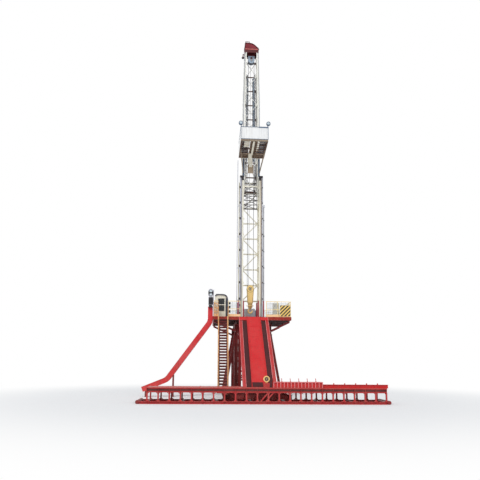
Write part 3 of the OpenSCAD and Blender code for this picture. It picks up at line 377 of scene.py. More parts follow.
def paintedSteel(name, paint, faded, rusting, streaks, dusting,
                 gloss=0.42, fading=0.6, metal=0.0, tread=0):
    mat, tree, shader, vector = startMaterial(name)
    worn = placeGroup(tree, weathering, Paint=colour(*paint), Faded=colour(*faded),
                      Grime=colour(*wear["grime"]), Rust=colour(*wear["rust"]),
                      Dust=colour(*wear["dust"]), Fading=fading, Streaks=streaks, Rusting=rusting,
                      Dusting=dusting, Dust_Height=wear["dustHeight"], Gloss=gloss)
    tree.links.new(vector, worn.inputs["Vector"])
    tree.links.new(worn.outputs["Colour"], shader.inputs["Base Color"])
    tree.links.new(worn.outputs["Roughness"], shader.inputs["Roughness"])
    shader.inputs["Metallic"].default_value = metal
    shader.inputs["Specular IOR Level"].default_value = wear["sheen"]
    normal = bumpFrom(tree, worn.outputs["Height"], wear["peel"], wear["peelStrength"], shader)
    if tread:
        plate = placeGroup(tree, treadPlate, Pitch=float(tread))
        tree.links.new(vector, plate.inputs["Vector"])
        bumpFrom(tree, plate.outputs["Height"], wear["tread"], wear["treadStrength"], shader,
                 normal)
    return mat


stripes = {"grime": (84, 70, 58), "dust": (190, 168, 140), "dustHeight": 4.0, "paler": 18}


def stripedPaint(name, pale, deep, width):
    mat, tree, shader, vector = startMaterial(name)
    bands = placeGroup(tree, slantStripes, Width=width)
    paints = []
    for tone in (pale, deep):
        faded = [min(255, t + stripes["paler"]) for t in tone]
        worn = placeGroup(tree, weathering, Paint=colour(*tone), Faded=colour(*faded),
                          Grime=colour(*stripes["grime"]), Rust=colour(*wear["rust"]),
                          Dust=colour(*stripes["dust"]), Fading=0.5, Streaks=0.3, Rusting=0.2,
                          Dusting=0.2, Dust_Height=stripes["dustHeight"], Gloss=0.45)
        tree.links.new(vector, worn.inputs["Vector"])
        paints.append(worn)
    tree.links.new(vector, bands.inputs["Vector"])
    mixed = mixIn(tree, bands.outputs["Mask"], paints[0].outputs["Colour"],
                  paints[1].outputs["Colour"])
    tree.links.new(mixed, shader.inputs["Base Color"])
    tree.links.new(paints[0].outputs["Roughness"], shader.inputs["Roughness"])
    bumpFrom(tree, paints[0].outputs["Height"], 0.002, 0.3, shader)
    return mat


def wireRope(name, tone, lay, metal=0.75):
    mat, tree, shader, vector = startMaterial(name)
    strands = placeGroup(tree, ropeLay, Lay=lay)
    tree.links.new(vector, strands.inputs["Vector"])
    grease = noiseIn(tree, vector, 8.0, 5)
    dark = tuple(max(0, t - 26) for t in tone)
    mixed = mixIn(tree, rangeIn(tree, grease, 0.35, 0.7), colour(*tone), colour(*dark))
    tree.links.new(mixed, shader.inputs["Base Color"])
    tree.links.new(rangeIn(tree, grease, 0.3, 0.7, 0.4, 0.62), shader.inputs["Roughness"])
    shader.inputs["Metallic"].default_value = metal
    bumpFrom(tree, strands.outputs["Height"], 0.004, 0.8, shader)
    return mat


def tintedGlass(name):
    mat, tree, shader, vector = startMaterial(name)
    smear = noiseIn(tree, vector, 3.5, 5)
    mixed = mixIn(tree, rangeIn(tree, smear, 0.4, 0.75), colour(34, 40, 46), colour(58, 64, 68))
    tree.links.new(mixed, shader.inputs["Base Color"])
    tree.links.new(rangeIn(tree, smear, 0.35, 0.8, 0.06, 0.22), shader.inputs["Roughness"])
    shader.inputs["Transmission Weight"].default_value = 0.45
    shader.inputs["IOR"].default_value = 1.5
    return mat


# Every finish: fresh tone, faded tone, rusting, streaks and dusting
paintShop = {
    "redPaint": ((204, 18, 28), (206, 38, 44), 0.25, 0.25, 0.07),
    # A darker copy of the rig's red: painted shade for the parts under and behind the floor
    "deepRedPaint": ((122, 16, 24), (146, 30, 36), 0.25, 0.45, 0.08),
    "brickPaint": ((122, 24, 30), (142, 38, 42), 0.25, 0.45, 0.1),
    # Painted shade: a dark maroon for the shade under the floor, the ramp and the stair, and in the
    # chords' webs
    "maroonShadePaint": ((74, 12, 16), (96, 24, 28), 0.25, 0.5, 0.08),
    "crimsonPaint": ((182, 26, 36), (196, 52, 58), 0.25, 0.35, 0.12),
    "slidePaint": ((212, 44, 50), (220, 78, 80), 0.25, 0.35, 0.1),
    "linerPaint": ((196, 58, 60), (214, 96, 92), 0.25, 0.5, 0.25),
    "salmonPaint": ((206, 92, 90), (216, 120, 112), 0.25, 0.35, 0.08),
    "creamPaint": ((246, 242, 226), (236, 230, 208), 0.28, 0.3, 0.06),
    "ivoryPaint": ((252, 251, 245), (246, 244, 234), 0.2, 0.25, 0.04),
    # Painted highlight: a pale pink for the lit edges of red parts
    "roseHighlightPaint": ((240, 138, 140), (246, 160, 158), 0.25, 0.2, 0.05),
    "railPaint": ((255, 232, 166), (250, 216, 146), 0.25, 0.25, 0.06),
    "tanPaint": ((226, 168, 110), (234, 186, 134), 0.35, 0.35, 0.12),
    "edgePaint": ((156, 40, 30), (178, 64, 46), 0.3, 0.55, 0.1),
    "toePaint": ((255, 214, 164), (255, 200, 144), 0.25, 0.3, 0.08),
    "yellowPaint": ((255, 222, 150), (255, 206, 128), 0.25, 0.3, 0.08),
    "greyPaint": ((128, 134, 142), (150, 156, 162), 0.3, 0.35, 0.12),
    "slatePaint": ((92, 108, 130), (120, 136, 156), 0.2, 0.3, 0.06),
    "blueGreyPaint": ((150, 168, 186), (172, 186, 200), 0.2, 0.35, 0.1),
    "paleGreyPaint": ((204, 206, 216), (218, 220, 226), 0.25, 0.25, 0.08),
    "meshPaint": ((140, 156, 168), (164, 178, 188), 0.2, 0.2, 0.05),
    "stepPaint": ((176, 66, 64), (196, 100, 94), 0.3, 0.35, 0.15),
    "roofPaint": ((72, 72, 80), (94, 94, 102), 0.25, 0.3, 0.1),
    "heelPaint": ((158, 34, 52), (180, 64, 80), 0.3, 0.3, 0.08),
    "cablePaint": ((196, 196, 206), (212, 212, 218), 0.2, 0.3, 0.08),
    "umberPaint": ((88, 58, 46), (112, 76, 60), 0.3, 0.3, 0.1),
    "plumPaint": ((112, 66, 84), (136, 92, 108), 0.2, 0.2, 0.06),
    # A dark red: on the crown frame it is painted shade, the dark band under the crown
    "crownPaint": ((78, 24, 28), (98, 38, 40), 0.3, 0.4, 0.05),
    "coverPaint": ((120, 18, 32), (142, 44, 56), 0.3, 0.5, 0.05),
    # Near-black red of painted shade: the shadow in the ramp's side channels, at the ramp's foot
    # and under the crown
    "paintedShadowPaint": ((62, 6, 12), (80, 12, 18), 0.15, 0.1, 0.0),
    "beigePaint": ((196, 174, 148), (210, 190, 164), 0.35, 0.4, 0.1),
    "lichenPaint": ((104, 100, 100), (128, 124, 122), 0.35, 0.4, 0.08),
    "darkPaint": ((46, 44, 48), (66, 62, 64), 0.3, 0.25, 0.12),
    "boardPaint": ((146, 130, 112), (164, 148, 128), 0.4, 0.4, 0.1),
    "whiteSheet": ((246, 246, 244), (238, 239, 240), 0.12, 0.2, 0.03),
    "deckPlate": ((132, 118, 108), (156, 140, 126), 0.4, 0.35, 0.35),
    "redDeckPlate": ((176, 32, 38), (190, 62, 62), 0.35, 0.35, 0.22),
    "bareSteel": ((140, 138, 136), (164, 160, 156), 0.4, 0.3, 0.12),
    "lensGlass": ((206, 220, 226), (226, 232, 236), 0.05, 0.35, 0.05),
}
specialCoats = {
    "slidePaint": {"fading": 0.7},
    "linerPaint": {"gloss": 0.3, "fading": 0.8},
    "deckPlate": {"tread": 34},
    "redDeckPlate": {"tread": 34},
    "bareSteel": {"gloss": 0.36, "metal": 0.8},
    "lensGlass": {"gloss": 0.12},
}
finishes = {}
for name, coat in paintShop.items():
    finishes[name] = paintedSteel(name, *coat, **specialCoats.get(name, {}))
finishes["hazardPaint"] = stripedPaint("hazardPaint", (246, 208, 112), (44, 38, 38), 0.15)
finishes["ropeSteel"] = wireRope("ropeSteel", (104, 108, 118), 150.0)
finishes["drumSteel"] = wireRope("drumSteel", (206, 196, 180), 150.0, metal=0.1)
finishes["boothGlass"] = tintedGlass("boothGlass")
print("finishes made")


# Which finish each node of the frame wears
nodePaint = {
    "redPaint": ["ramp_plate", "pipe_rest_beam"],
    "crimsonPaint": ["platform_front_truss", "platform_back_truss", "raised_deck", "ramp_frame"],
    "brickPaint": ["base_frame", "front_leg_frame"],
    # Back legs, braces, cross beams and slide legs wear the darker red of painted shade
    "deepRedPaint": ["platform_cross_beams", "back_leg_frame", "side_braces", "slide_legs"],
    # Floor beams and stair treads wear painted shade
    "maroonShadePaint": ["stair_treads", "floor_beams"],
    # The ramp's side channels wear painted shade
    "paintedShadowPaint": ["ramp_sides"],
    # The crown frame's dark red is painted shade
    "crownPaint": ["crown_frame"],
    "coverPaint": ["crown_cover"],
    "heelPaint": ["mast_base"],
    "redDeckPlate": ["platform_deck", "stair_landing"],
    "slidePaint": ["escape_slide"],
    "creamPaint": ["booth_front", "tool_cabinet", "lower_mast_left", "lower_mast_right",
                   "lower_mast_back"],
    "ivoryPaint": ["upper_mast_left", "upper_mast_right", "upper_mast_back"],
    "tanPaint": ["stair_stringers", "stair_rails"],
    "railPaint": ["front_rails", "side_rails", "back_rail"],
    "edgePaint": ["floor_edge"],
    "yellowPaint": ["travelling_block", "hook", "ramp_sheave"],
    "roofPaint": ["booth_shell"],
    "blueGreyPaint": ["drawworks", "crown_hanger"],
    "paleGreyPaint": ["mast_ladder", "standpipe", "rotary_table"],
    "greyPaint": ["crown_sheaves", "block_sheaves"],
    "cablePaint": ["lamp_post"],
    "darkPaint": ["mast_locks", "racking_fingers", "winch_sheave"],
    "slatePaint": ["board_lamps"],
    "boardPaint": ["racking_board"],
    "whiteSheet": ["wind_wall"],
    "deckPlate": ["drill_floor"],
    "hazardPaint": ["hazard_panel"],
    "ropeSteel": ["drilling_lines", "fast_line"],
    "boothGlass": ["booth_glass"],
}

for finish, wearers in nodePaint.items():
    for name in wearers:
        mesh = nodes[name].data
        mesh.materials.clear()
        mesh.materials.append(finishes[finish])
print("nodes painted")


# Tools that every piece is made with. A bar is a flat or square section from
# start to end, and wide is its measure across, deep the one that stands up.
def addBar(bm, start, end, wide, deep):
    a, b = spot(*start), spot(*end)
    run = b - a
    made = bmesh.ops.create_cube(bm, size=1)["verts"]
    turn = run.to_track_quat("X", "Z").to_matrix().to_4x4()
    size = Matrix.Diagonal((run.length, wide / 1000, deep / 1000, 1))
    bmesh.ops.transform(bm, matrix=Matrix.Translation((a + b) / 2) @ turn @ size, verts=made)
    return made


# A box between two opposite corners, given in either order
def addBlock(bm, corner, opposite):
    a, b = spot(*map(min, corner, opposite)), spot(*map(max, corner, opposite))
    made = bmesh.ops.create_cube(bm, size=1)["verts"]
    size = Matrix.Diagonal((*(b - a), 1))
    bmesh.ops.transform(bm, matrix=Matrix.Translation((a + b) / 2) @ size, verts=made)
    return made


def addRod(bm, start, end, radius, sides=8, endRadius=None):
    a, b = spot(*start), spot(*end)
    run = b - a
    tip = radius if endRadius is None else endRadius
    made = bmesh.ops.create_cone(bm, cap_ends=True, segments=sides, radius1=radius / 1000,
                                 radius2=tip / 1000, depth=run.length)["verts"]
    turn = run.to_track_quat("Z", "Y").to_matrix().to_4x4()
    bmesh.ops.transform(bm, matrix=Matrix.Translation((a + b) / 2) @ turn, verts=made)
    return made


# A ring of round section about an axis along Y, X or Z, whole or part. Its
# faces are made one by one, since spin gives them another order in each run.
# About Y it turns from +X up to +Z, so a start of 180 gives the lower half.
def addRing(bm, middle, about, radius, wire, start=0.0, swing=360.0, steps=32, sides=8):
    whole = swing >= 360
    tilt = {"X": Matrix.Rotation(pi / 2, 3, "Y"), "Y": Matrix.Rotation(pi / 2, 3, "X"),
            "Z": Matrix.Identity(3)}
    hoops = []
    for i in range(steps if whole else steps + 1):
        turn = radians(start + swing * i / steps)
        hoop = []
        for j in range(sides):
            angle = 2 * pi * j / sides
            reach, rise = radius - wire * sin(angle), wire * cos(angle)
            place = Vector((reach * cos(turn), reach * sin(turn), rise)) / 1000
            hoop.append(bm.verts.new(tilt[about] @ place + spot(*middle)))
        hoops.append(hoop)
    following = hoops[1:] + hoops[:1] if whole else hoops[1:]
    for hoop, after in zip(hoops, following):
        for j in range(sides):
            bm.faces.new((hoop[j - 1], hoop[j], after[j], after[j - 1]))
    return [vert for hoop in hoops for vert in hoop]


def addBolt(bm, place, facing, radius=18, tall=14):
    way = Vector(facing).normalized() * tall
    tip = [p + w for p, w in zip(place, way)]
    addRod(bm, place, tip, radius, 6)


def newMeshes(count):
    return [bmesh.new() for _ in range(count)]


# Bolts on a circle, with their heads towards facing
def addBoltCircle(bm, middle, facing, across, count, radius, tall):
    for k in range(count):
        turn = 2 * pi * k / count
        u, v = across * cos(turn), across * sin(turn)
        step = (0, u, v) if facing[0] else (u, 0, v) if facing[1] else (u, v, 0)
        addBolt(bm, [m + s for m, s in zip(middle, step)], facing, radius, tall)


def finishPiece(name, bm, finish, body="rig", chamfer=0.0, smooth=False):
    if chamfer:
        bm.normal_update()
        sharp = [e for e in bm.edges if len(e.link_faces) == 2 and e.calc_face_angle(0) > 0.6]
        bmesh.ops.bevel(bm, geom=sharp, offset=chamfer / 1000, affect="EDGES", segments=1,
                        profile=0.5, material=-1)
    bmesh.ops.recalc_face_normals(bm, faces=bm.faces[:])
    for face in bm.faces:
        face.smooth = smooth
    mesh = bpy.data.meshes.new(name)
    bm.to_mesh(mesh)
    bm.free()
    mesh.materials.append(finishes[finish])
    piece = bpy.data.objects.new(name, mesh)
    bpy.context.scene.collection.objects.link(piece)
    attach(piece, body)
    return piece


# Lower mast: bolted plates at each panel point, lugs and strips on the front
# legs with a strip of painted shade down their outer edge, and the cable runs
# that lie in their channels, pale grey-blue to paint the channels' shade
lowerMast = {"legX": 900, "legY": 800, "halfWide": 180, "halfDeep": 150, "first": 8450,
             "panel": 1490, "count": 8, "foot": 6700, "top": 19990,
             "plateEdges": (20, 420), "boltRows": (190, 300, 380), "boltLevels": (-140, 0, 150),
             "frontStrip": 125, "outerShadeStrip": 80, "stripThick": 10,
             "cables": 3, "cableIn": 160, "cableGap": 45, "cableR": 21}


def panelPoints(size, count=None):
    return [size["first"] + i * size["panel"] for i in range(count or size["count"])]


def dressLowerMast():
    size = lowerMast
    foot, top, legY = size["foot"], size["top"], size["legY"]
    front = -legY - size["halfDeep"]
    plates, bolts, lugs, outer, cables = newMeshes(5)
    for side in (-1, 1):
        x = side * size["legX"]
        inner, edge = x - side * size["halfWide"], x + side * size["halfWide"]
        for z in panelPoints(size):
            for depth in (-1, 1):
                near, far = (depth * (legY - inset) for inset in size["plateEdges"])
                addBlock(plates, (x + side * 40, near, z - 210), (x + side * 54, far, z + 230))
                for dy in size["boltRows"]:
                    for dz in size["boltLevels"]:
                        place = (x + side * 54, depth * (legY - dy), z + dz)
                        addBolt(bolts, place, (side, 0, 0), 16, 12)
            addBlock(lugs, (inner, -945, z - 75), (inner - side * 75, -800, z + 75))
            addBlock(lugs, (inner, 700, z - 130), (inner - side * 40, 880, z + 130))
        proud = front - size["stripThick"]
        addBlock(lugs, (inner, proud, foot), (inner + side * size["frontStrip"], front, top))
        # Pale grey strip down the outer edge: painted shade of the leg's side face
        addBlock(outer, (edge, proud, foot), (edge - side * size["outerShadeStrip"], front, top))
        # Cable runs in the channel, coloured to paint the channel's shaded web
        for k in range(size["cables"]):
            run = inner + side * (size["cableIn"] + size["cableGap"] * k)
            y = -legY - 60 - 12 * (k % 2)
            addRod(cables, (run, y, foot), (run, y, top - 60), size["cableR"], 8)
        for i in range(size["count"] * 2):
            z = size["first"] + i * size["panel"] / 2 - 300
            if z < top:
                addBlock(cables, (inner + side * 130, -legY - 100, z - 25),
                         (inner + side * 280, -legY - 84, z + 25))
    finishPiece("lowerGussets", plates, "creamPaint", chamfer=3)
    finishPiece("lowerGussetBolts", bolts, "bareSteel")
    finishPiece("frontLegLugs", lugs, "creamPaint", chamfer=4)
    finishPiece("frontLegShadeStrips", outer, "paleGreyPaint", chamfer=3)
    finishPiece("channelCablesShade", cables, "cablePaint")


# The lower mast's head: dark brackets, a cream cross plate, and the close
# bracing where the upper mast's foot sits between the legs
mastHead = {"leftBracket": (-1100, -1000, -90, 110), "rightBracket": (1000, 1070, -60, 70),
            "seam": (850, 912), "plateFront": -975, "plateBack": -956, "half": 712,
            "crossFoot": 18970, "crossTop": 19120, "nestFoot": 17320, "nestPanel": 440,
            "nestPanels": 6}


def dressMastHead():
    size = mastHead
    front, back, half = size["plateFront"], size["plateBack"], size["half"]
    foot, top = lowerMast["foot"], lowerMast["top"]
    heads, cross, nest, seam = newMeshes(4)
    for z in panelPoints(lowerMast):
        for x0, x1, low, high in (size["leftBracket"], size["rightBracket"]):
            addBlock(heads, (x0, -966, z + low), (x1, -930, z + high))
    x0, x1 = size["seam"]
    addBlock(seam, (x0, -962, foot + 1300), (x1, -948, top - 200))
    for side in (-1, 1):
        addBlock(heads, (side * 700, front, top - 150), (side * 1060, back, top + 40))
        addBlock(heads, (side * 700, front, top - 420), (side * 900, back, top - 150))
        for k in range(4):
            addBolt(heads, (side * (740 + k * 90), front, top - 60), (0, -1, 0), 16, 12)
        for inset in (90, 340):
            x = side * (half - inset)
            addBar(nest, (x, 690, 17300), (x, 690, top - 60), 70, 40)
        addBlock(cross, (side * half, -860, size["crossFoot"] - 30),
                 (side * (half - 60), -700, size["crossTop"] + 30))
    addBlock(cross, (-half, -800, size["crossFoot"]), (half, -780, size["crossTop"]))
    for k in range(size["nestPanels"]):
        low = size["nestFoot"] + k * size["nestPanel"]
        high = low + size["nestPanel"]
        way = 1 if k % 2 else -1
        addBar(nest, (-way * half, 706, low), (way * half, 706, high), 26, 54)
        addBar(nest, (-half, 716, low), (half, 716, low), 26, 64)
        addBar(nest, (way * half, 726, low), (-way * 180, 726, high), 20, 40)
    finishPiece("lowerHeadBrackets", heads, "darkPaint", chamfer=3)
    finishPiece("lowerCrossPlate", cross, "creamPaint", chamfer=4)
    finishPiece("legSeam", seam, "beigePaint")
    finishPiece("nestedBracing", nest, "lichenPaint")


# Upper mast: the same, smaller, and it narrows towards the crown
upperMast = {"legX": 705, "legY": 500, "crownX": 585, "crownY": 430, "halfWide": 105,
             "halfDeep": 100, "first": 18900, "panel": 1490, "count": 10, "foot": 18650,
             "taper": 27500, "head": 32900, "top": 32880, "stripIn": 22, "stripThick": 12}


def upperLeg(z):
    size = upperMast
    share = max(0, (z - size["taper"]) / (size["head"] - size["taper"]))
    return (size["legX"] + (size["crownX"] - size["legX"]) * share,
            size["legY"] + (size["crownY"] - size["legY"]) * share)


def dressUpperMast():
    size = upperMast
    plates, straps, strips, bolts = newMeshes(4)
    for z in panelPoints(size):
        x, y = upperLeg(z)
        inside = x - size["halfWide"] - 6
        # Umber girts and bands at each panel point: painted shade of the lattice inside the mast
        addBlock(straps, (-inside, y - 44, z - 52), (inside, y - 31, z + 52))
        for side in (-1, 1):
            for depth in (-1, 1):
                addBlock(plates, (side * (x + 35), depth * (y - 20), z - 130),
                         (side * (x + 45), depth * (y - 260), z + 150))
                for dz in (-90, 0, 100):
                    place = (side * (x + 45), depth * (y - 170), z + dz)
                    addBolt(bolts, place, (side, 0, 0), 13, 10)
            addBlock(straps, (side * inside, y - 56, z - 120),
                     (side * (inside - 130), y - 44, z + 120))
            addBlock(plates, (side * (inside + 6), -y - 85, z - 55),
                     (side * (inside - 44), -y, z + 55))
    # Down each leg: a pale grey strip on the outer edge, painted shade of its side, and an ivory
    # one on the inner edge
    edge = size["halfWide"] - size["stripIn"]
    for side in (-1, 1):
        for low, high in ((size["foot"], size["taper"]), (size["taper"], size["top"])):
            (x0, y0), (x1, y1) = upperLeg(low), upperLeg(high)
            y0, y1 = (-y - size["halfDeep"] - 6 for y in (y0, y1))
            for bm, off, deep in ((strips, edge, 44), (plates, 28 - edge, 100)):
                addBar(bm, (side * (x0 + off), y0, low), (side * (x1 + off), y1, high),
                       size["stripThick"], deep)
    finishPiece("upperGussets", plates, "ivoryPaint")
    finishPiece("upperGirtShade", straps, "umberPaint")
    finishPiece("upperLegShadeStrips", strips, "paleGreyPaint")
    finishPiece("upperGussetBolts", bolts, "bareSteel")


# Zigzag behind the hoist's path, with a plate at each of its ends
def dressZigzag():
    size = upperMast
    zigzag = bmesh.new()
    half = size["halfWide"]
    for i, low in enumerate(panelPoints(size, size["count"] - 1)):
        high = low + size["panel"]
        way = -1 if i % 2 else 1
        (x0, y0), (x1, y1) = upperLeg(low), upperLeg(high)
        ends = [(way, x0, y0 - 190, low + 60), (-way, x1, y1 - 190, high - 60)]
        addBar(zigzag, *[(side * (x - half - 10), y, z) for side, x, y, z in ends], 30, 64)
        for side, x, y, z in ends:
            addBlock(zigzag, (side * (x - half - 4), y + 12, z - 60),
                     (side * (x - half - 150), y + 22, z + 60))
    finishPiece("upperZigzag", zigzag, "ivoryPaint", chamfer=2)


# Guide channels with their rungs beside the hoist's path, the cable trays at
# the back, a narrow one on the left and a wide one on the right, and the plates
# over the legs between the board and the lower mast
mastGear = {"rungPitch": 290, "channels": ((40, 30), (200, 44)), "rungIn": (34, 206),
            "trays": ((-400, -330, 150), (300, 250, 270)), "trayFoot": 22000, "trayTop": 30700,
            "trayRungs": 22, "trayPitch": 400, "trayCables": 4, "cableR": 13,
            "collarFoot": 20060, "collarTop": 21800, "hatchX": (-310, 210),
            "hatchZ": (20480, 21350)}


def dressMastGear():
    size, mast = mastGear, upperMast
    guides, trays, rungs, collars, hatch = newMeshes(5)
    near, far = size["rungIn"]
    for side in (-1, 1):
        for low, high in ((mast["foot"] + 200, mast["taper"]),
                          (mast["taper"], mast["top"] - 1900)):
            (x0, y0), (x1, y1) = upperLeg(low), upperLeg(high)
            for inset, wide in size["channels"]:
                inset += mast["halfWide"]
                addBar(guides, (side * (x0 - inset), y0 - 70, low),
                       (side * (x1 - inset), y1 - 70, high), wide, 60)
        z = mast["foot"] + 300
        while z < mast["top"] - 2000:
            x, y = upperLeg(z)
            edge, y = x - mast["halfWide"], y - 66
            knees = [(side * (edge - near), y, z), (side * (edge - far), y, z + 150),
                     (side * (edge - near), y, z + size["rungPitch"])]
            for a, b in zip(knees, knees[1:]):
                addBar(guides, a, b, 12, 46)
            z += size["rungPitch"]
    back, foot, top = mast["legY"], size["trayFoot"], size["trayTop"]
    for x0, x1, wide in size["trays"]:
        addBar(trays, (x0, back - 96, foot), (x1, back - 130, top), wide, 22)
        for k in range(size["trayRungs"]):
            x, z = x0 + (x1 - x0) * k / size["trayRungs"], foot + 150 + k * size["trayPitch"]
            half = wide / 2 + 12
            addBlock(rungs, (x - half, back - 150, z), (x + half, back - 120, z + 36))
        for k in range(size["trayCables"]):
            x = x0 - wide / 2 + wide * (k + 0.5) / size["trayCables"]
            addRod(rungs, (x, back - 122, foot), (x + x1 - x0, back - 150, top - 100),
                   size["cableR"], 6)
    legX, legY, low, high = mast["legX"], mast["legY"], size["collarFoot"], size["collarTop"]
    for side in (-1, 1):
        for x, y, deep in ((legX + 20, -legY - mast["halfDeep"] - 16, 150),
                           (legX - mast["halfWide"] - 60, legY - 40, 120)):
            addBar(collars, (side * x, y, low), (side * x, y, high), 14, deep)
    (x0, x1), (z0, z1) = size["hatchX"], size["hatchZ"]
    addBlock(hatch, (x0, -legY + 60, z0), (x1, -legY + 80, z1))
    for k in range(4):
        z = z0 + 20 + k * 270
        addBlock(hatch, (x0, -legY + 46, z), (x1, -legY + 60, z + 24))
    finishPiece("cableTrays", trays, "blueGreyPaint")
    finishPiece("trayCables", rungs, "lichenPaint")
    finishPiece("guideChannels", guides, "lichenPaint")
    finishPiece("mastHatch", hatch, "beigePaint", chamfer=3)
    finishPiece("legCollars", collars, "slatePaint", chamfer=3)


# Crown: guard rail behind the cover, bolts, the trim along its foot and edge, and
# the painted shade of its hanger's hole and of the box over it
crown = {"half": 690, "foot": 33200, "frame": 32900, "back": 530, "railTop": 33880, "pin": 32300,
         "plateY": 195, "hoopFoot": 620, "hoopTop": 860, "hoopX": (90, 480), "hole": 210,
         "shade": 340}


def dressCrown():
    size = crown
    half, foot, back, pin = size["half"], size["foot"], size["back"], size["pin"]
    rail, trim, bolts, edge, hole = newMeshes(5)
    low, high = foot + 5, size["railTop"]
    corners = [(20 - half, 150), (20 - half, back - 20), (half - 20, back - 20), (half - 20, 150)]
    for k, (x, y) in enumerate(corners):
        addRod(rail, (x, y, low), (x, y, high), 22, 8)
        if k:
            px, py = corners[k - 1]
            for z in (high - 10, (low + high) / 2):
                addRod(rail, (px, py, z), (x, y, z), 20, 8)
    for x in (-230, 230):
        addRod(rail, (x, back - 20, low), (x, back - 20, high), 18, 8)
    addBlock(trim, (-half, -back - 14, foot), (half, -back, foot + 90))
    for side in (-1, 1):
        for k in range(6):
            addBolt(bolts, (side * (60 + k * 118), -back - 14, foot + 45), (0, -1, 0), 15, 10)
        y = side * size["plateY"]
        addRod(bolts, (0, y, pin), (0, y + side * 34, pin), 88, 20)
        addBoltCircle(bolts, (0, y, pin), (0, side, 0), 130, 8, 15, 12)
        for k in range(5):
            for x in (-285, 285):
                addBolt(bolts, (x, y, pin + 20 + k * 120), (0, side, 0), 13, 10)
    # Dark trim along the cover's outline and the low hoop above its left end
    outline = [(half, 0), (half - 40, 150), (half - 420, 500), (half - 700, 650),
               (120 - half, 700), (60 - half, 640), (-half, 0)]
    for (ax, az), (bx, bz) in zip(outline, outline[1:]):
        addBar(edge, (ax, 4 - back, foot + az), (bx, 4 - back, foot + bz), 60, 84)
    addBlock(edge, (40 - half, -back - 12, foot + 96), (half - 30, -back, foot + 150))
    left, right = (x - half for x in size["hoopX"])
    top = foot + size["hoopTop"]
    for y in (40 - back, 60):
        for x in (left, right):
            addRod(rail, (x, y, foot + size["hoopFoot"]), (x, y, top), 22, 8)
        addRod(rail, (left, y, top), (right, y, top - 10), 26, 8)
    for x, z in ((left, top), (right, top - 10)):
        addRod(rail, (x, 40 - back, z), (x, 60, z), 24, 8)
    # Painted shade: a dark disc and ring for the hanger's hole, and a dark box for the shade over
    # it
    front, shade, frameZ = -size["plateY"], size["shade"], size["frame"]
    addRod(hole, (0, front - 1, pin + size["hole"]), (0, front - 8, pin + size["hole"]), 92, 28)
    addRing(hole, (0, front - 6, pin + size["hole"]), "Y", 96, 12, steps=28, sides=6)
    addBlock(hole, (-shade, front - 50, frameZ - 180), (shade, front - 36, frameZ))
    for x in (-shade, shade - 14):
        addBlock(hole, (x, front - 50, frameZ - 180), (x + 14, front + 10, frameZ))
    finishPiece("crownShade", hole, "paintedShadowPaint")
    finishPiece("crownEdge", edge, "crownPaint")
    finishPiece("crownRail", rail, "plumPaint")
    finishPiece("crownTrim", trim, "salmonPaint", chamfer=3)
    finishPiece("crownBolts", bolts, "bareSteel")


# Wire rope: six parts between crown and block, the wraps on their sheaves and
# the layer on the hoist drum
rope = {"radius": 14, "sheave": 280, "crownPitch": 90, "blockPitch": 70, "crownZ": 32300,
        "blockZ": 9500, "travel": 20000, "straight": 1500, "drumY": 2650, "drumZ": 7500,
        "drumR": 330, "drumHalf": 500, "drumGap": 2}


def reeveRopes():
    size = rope
    radius, sheave, crownZ, blockZ = size["radius"], size["sheave"], size["crownZ"], size["blockZ"]
    lines, over, under, layer = newMeshes(4)
    for i in range(3):
        lowY = (i - 1) * size["blockPitch"]
        for side in (-1, 1):
            highY = (i + (1 - side) / 2 - 1.5) * size["crownPitch"]
            # Straight through the grooves, also with the block up, and slanted
            # only between them
            path = [(lowY, blockZ), (lowY, blockZ + size["straight"]),
                    (highY, crownZ - size["straight"]), (highY, crownZ)]
            for (y0, z0), (y1, z1) in zip(path, path[1:]):
                addRod(lines, (side * sheave, y0, z0), (side * sheave, y1, z1), radius, 10)
        addRing(under, (0, lowY, blockZ), "Y", sheave, radius, start=0, swing=180, steps=24)
    for i in range(4):
        y = (i - 1.5) * size["crownPitch"]
        addRing(over, (0, y, crownZ), "Y", sheave, radius, start=180, swing=180, steps=24)
    wide = 2 * size["drumHalf"]
    turns = int(wide / (2 * radius + size["drumGap"]))
    for k in range(turns):
        middle = ((k + 0.5) * wide / turns - size["drumHalf"], size["drumY"], size["drumZ"])
        addRing(layer, middle, "X", size["drumR"] + radius, radius, steps=32, sides=6)
    ropes = finishPiece("reevedLines", lines, "ropeSteel", smooth=True)
    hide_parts("drilling_lines")
    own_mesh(ropes)
    finishPiece("crownWraps", over, "ropeSteel", smooth=True)
    finishPiece("blockWraps", under, "ropeSteel", body="block", smooth=True)
    finishPiece("drumRope", layer, "drumSteel", smooth=True)


# Travelling block and hook
hoist = {"pin": 9500, "low": 8100, "cheek": 134, "cheekR": 300, "rimR": 322, "footHalf": 196,
         "hookZ": 7450, "hookR": 180, "arm": 165}


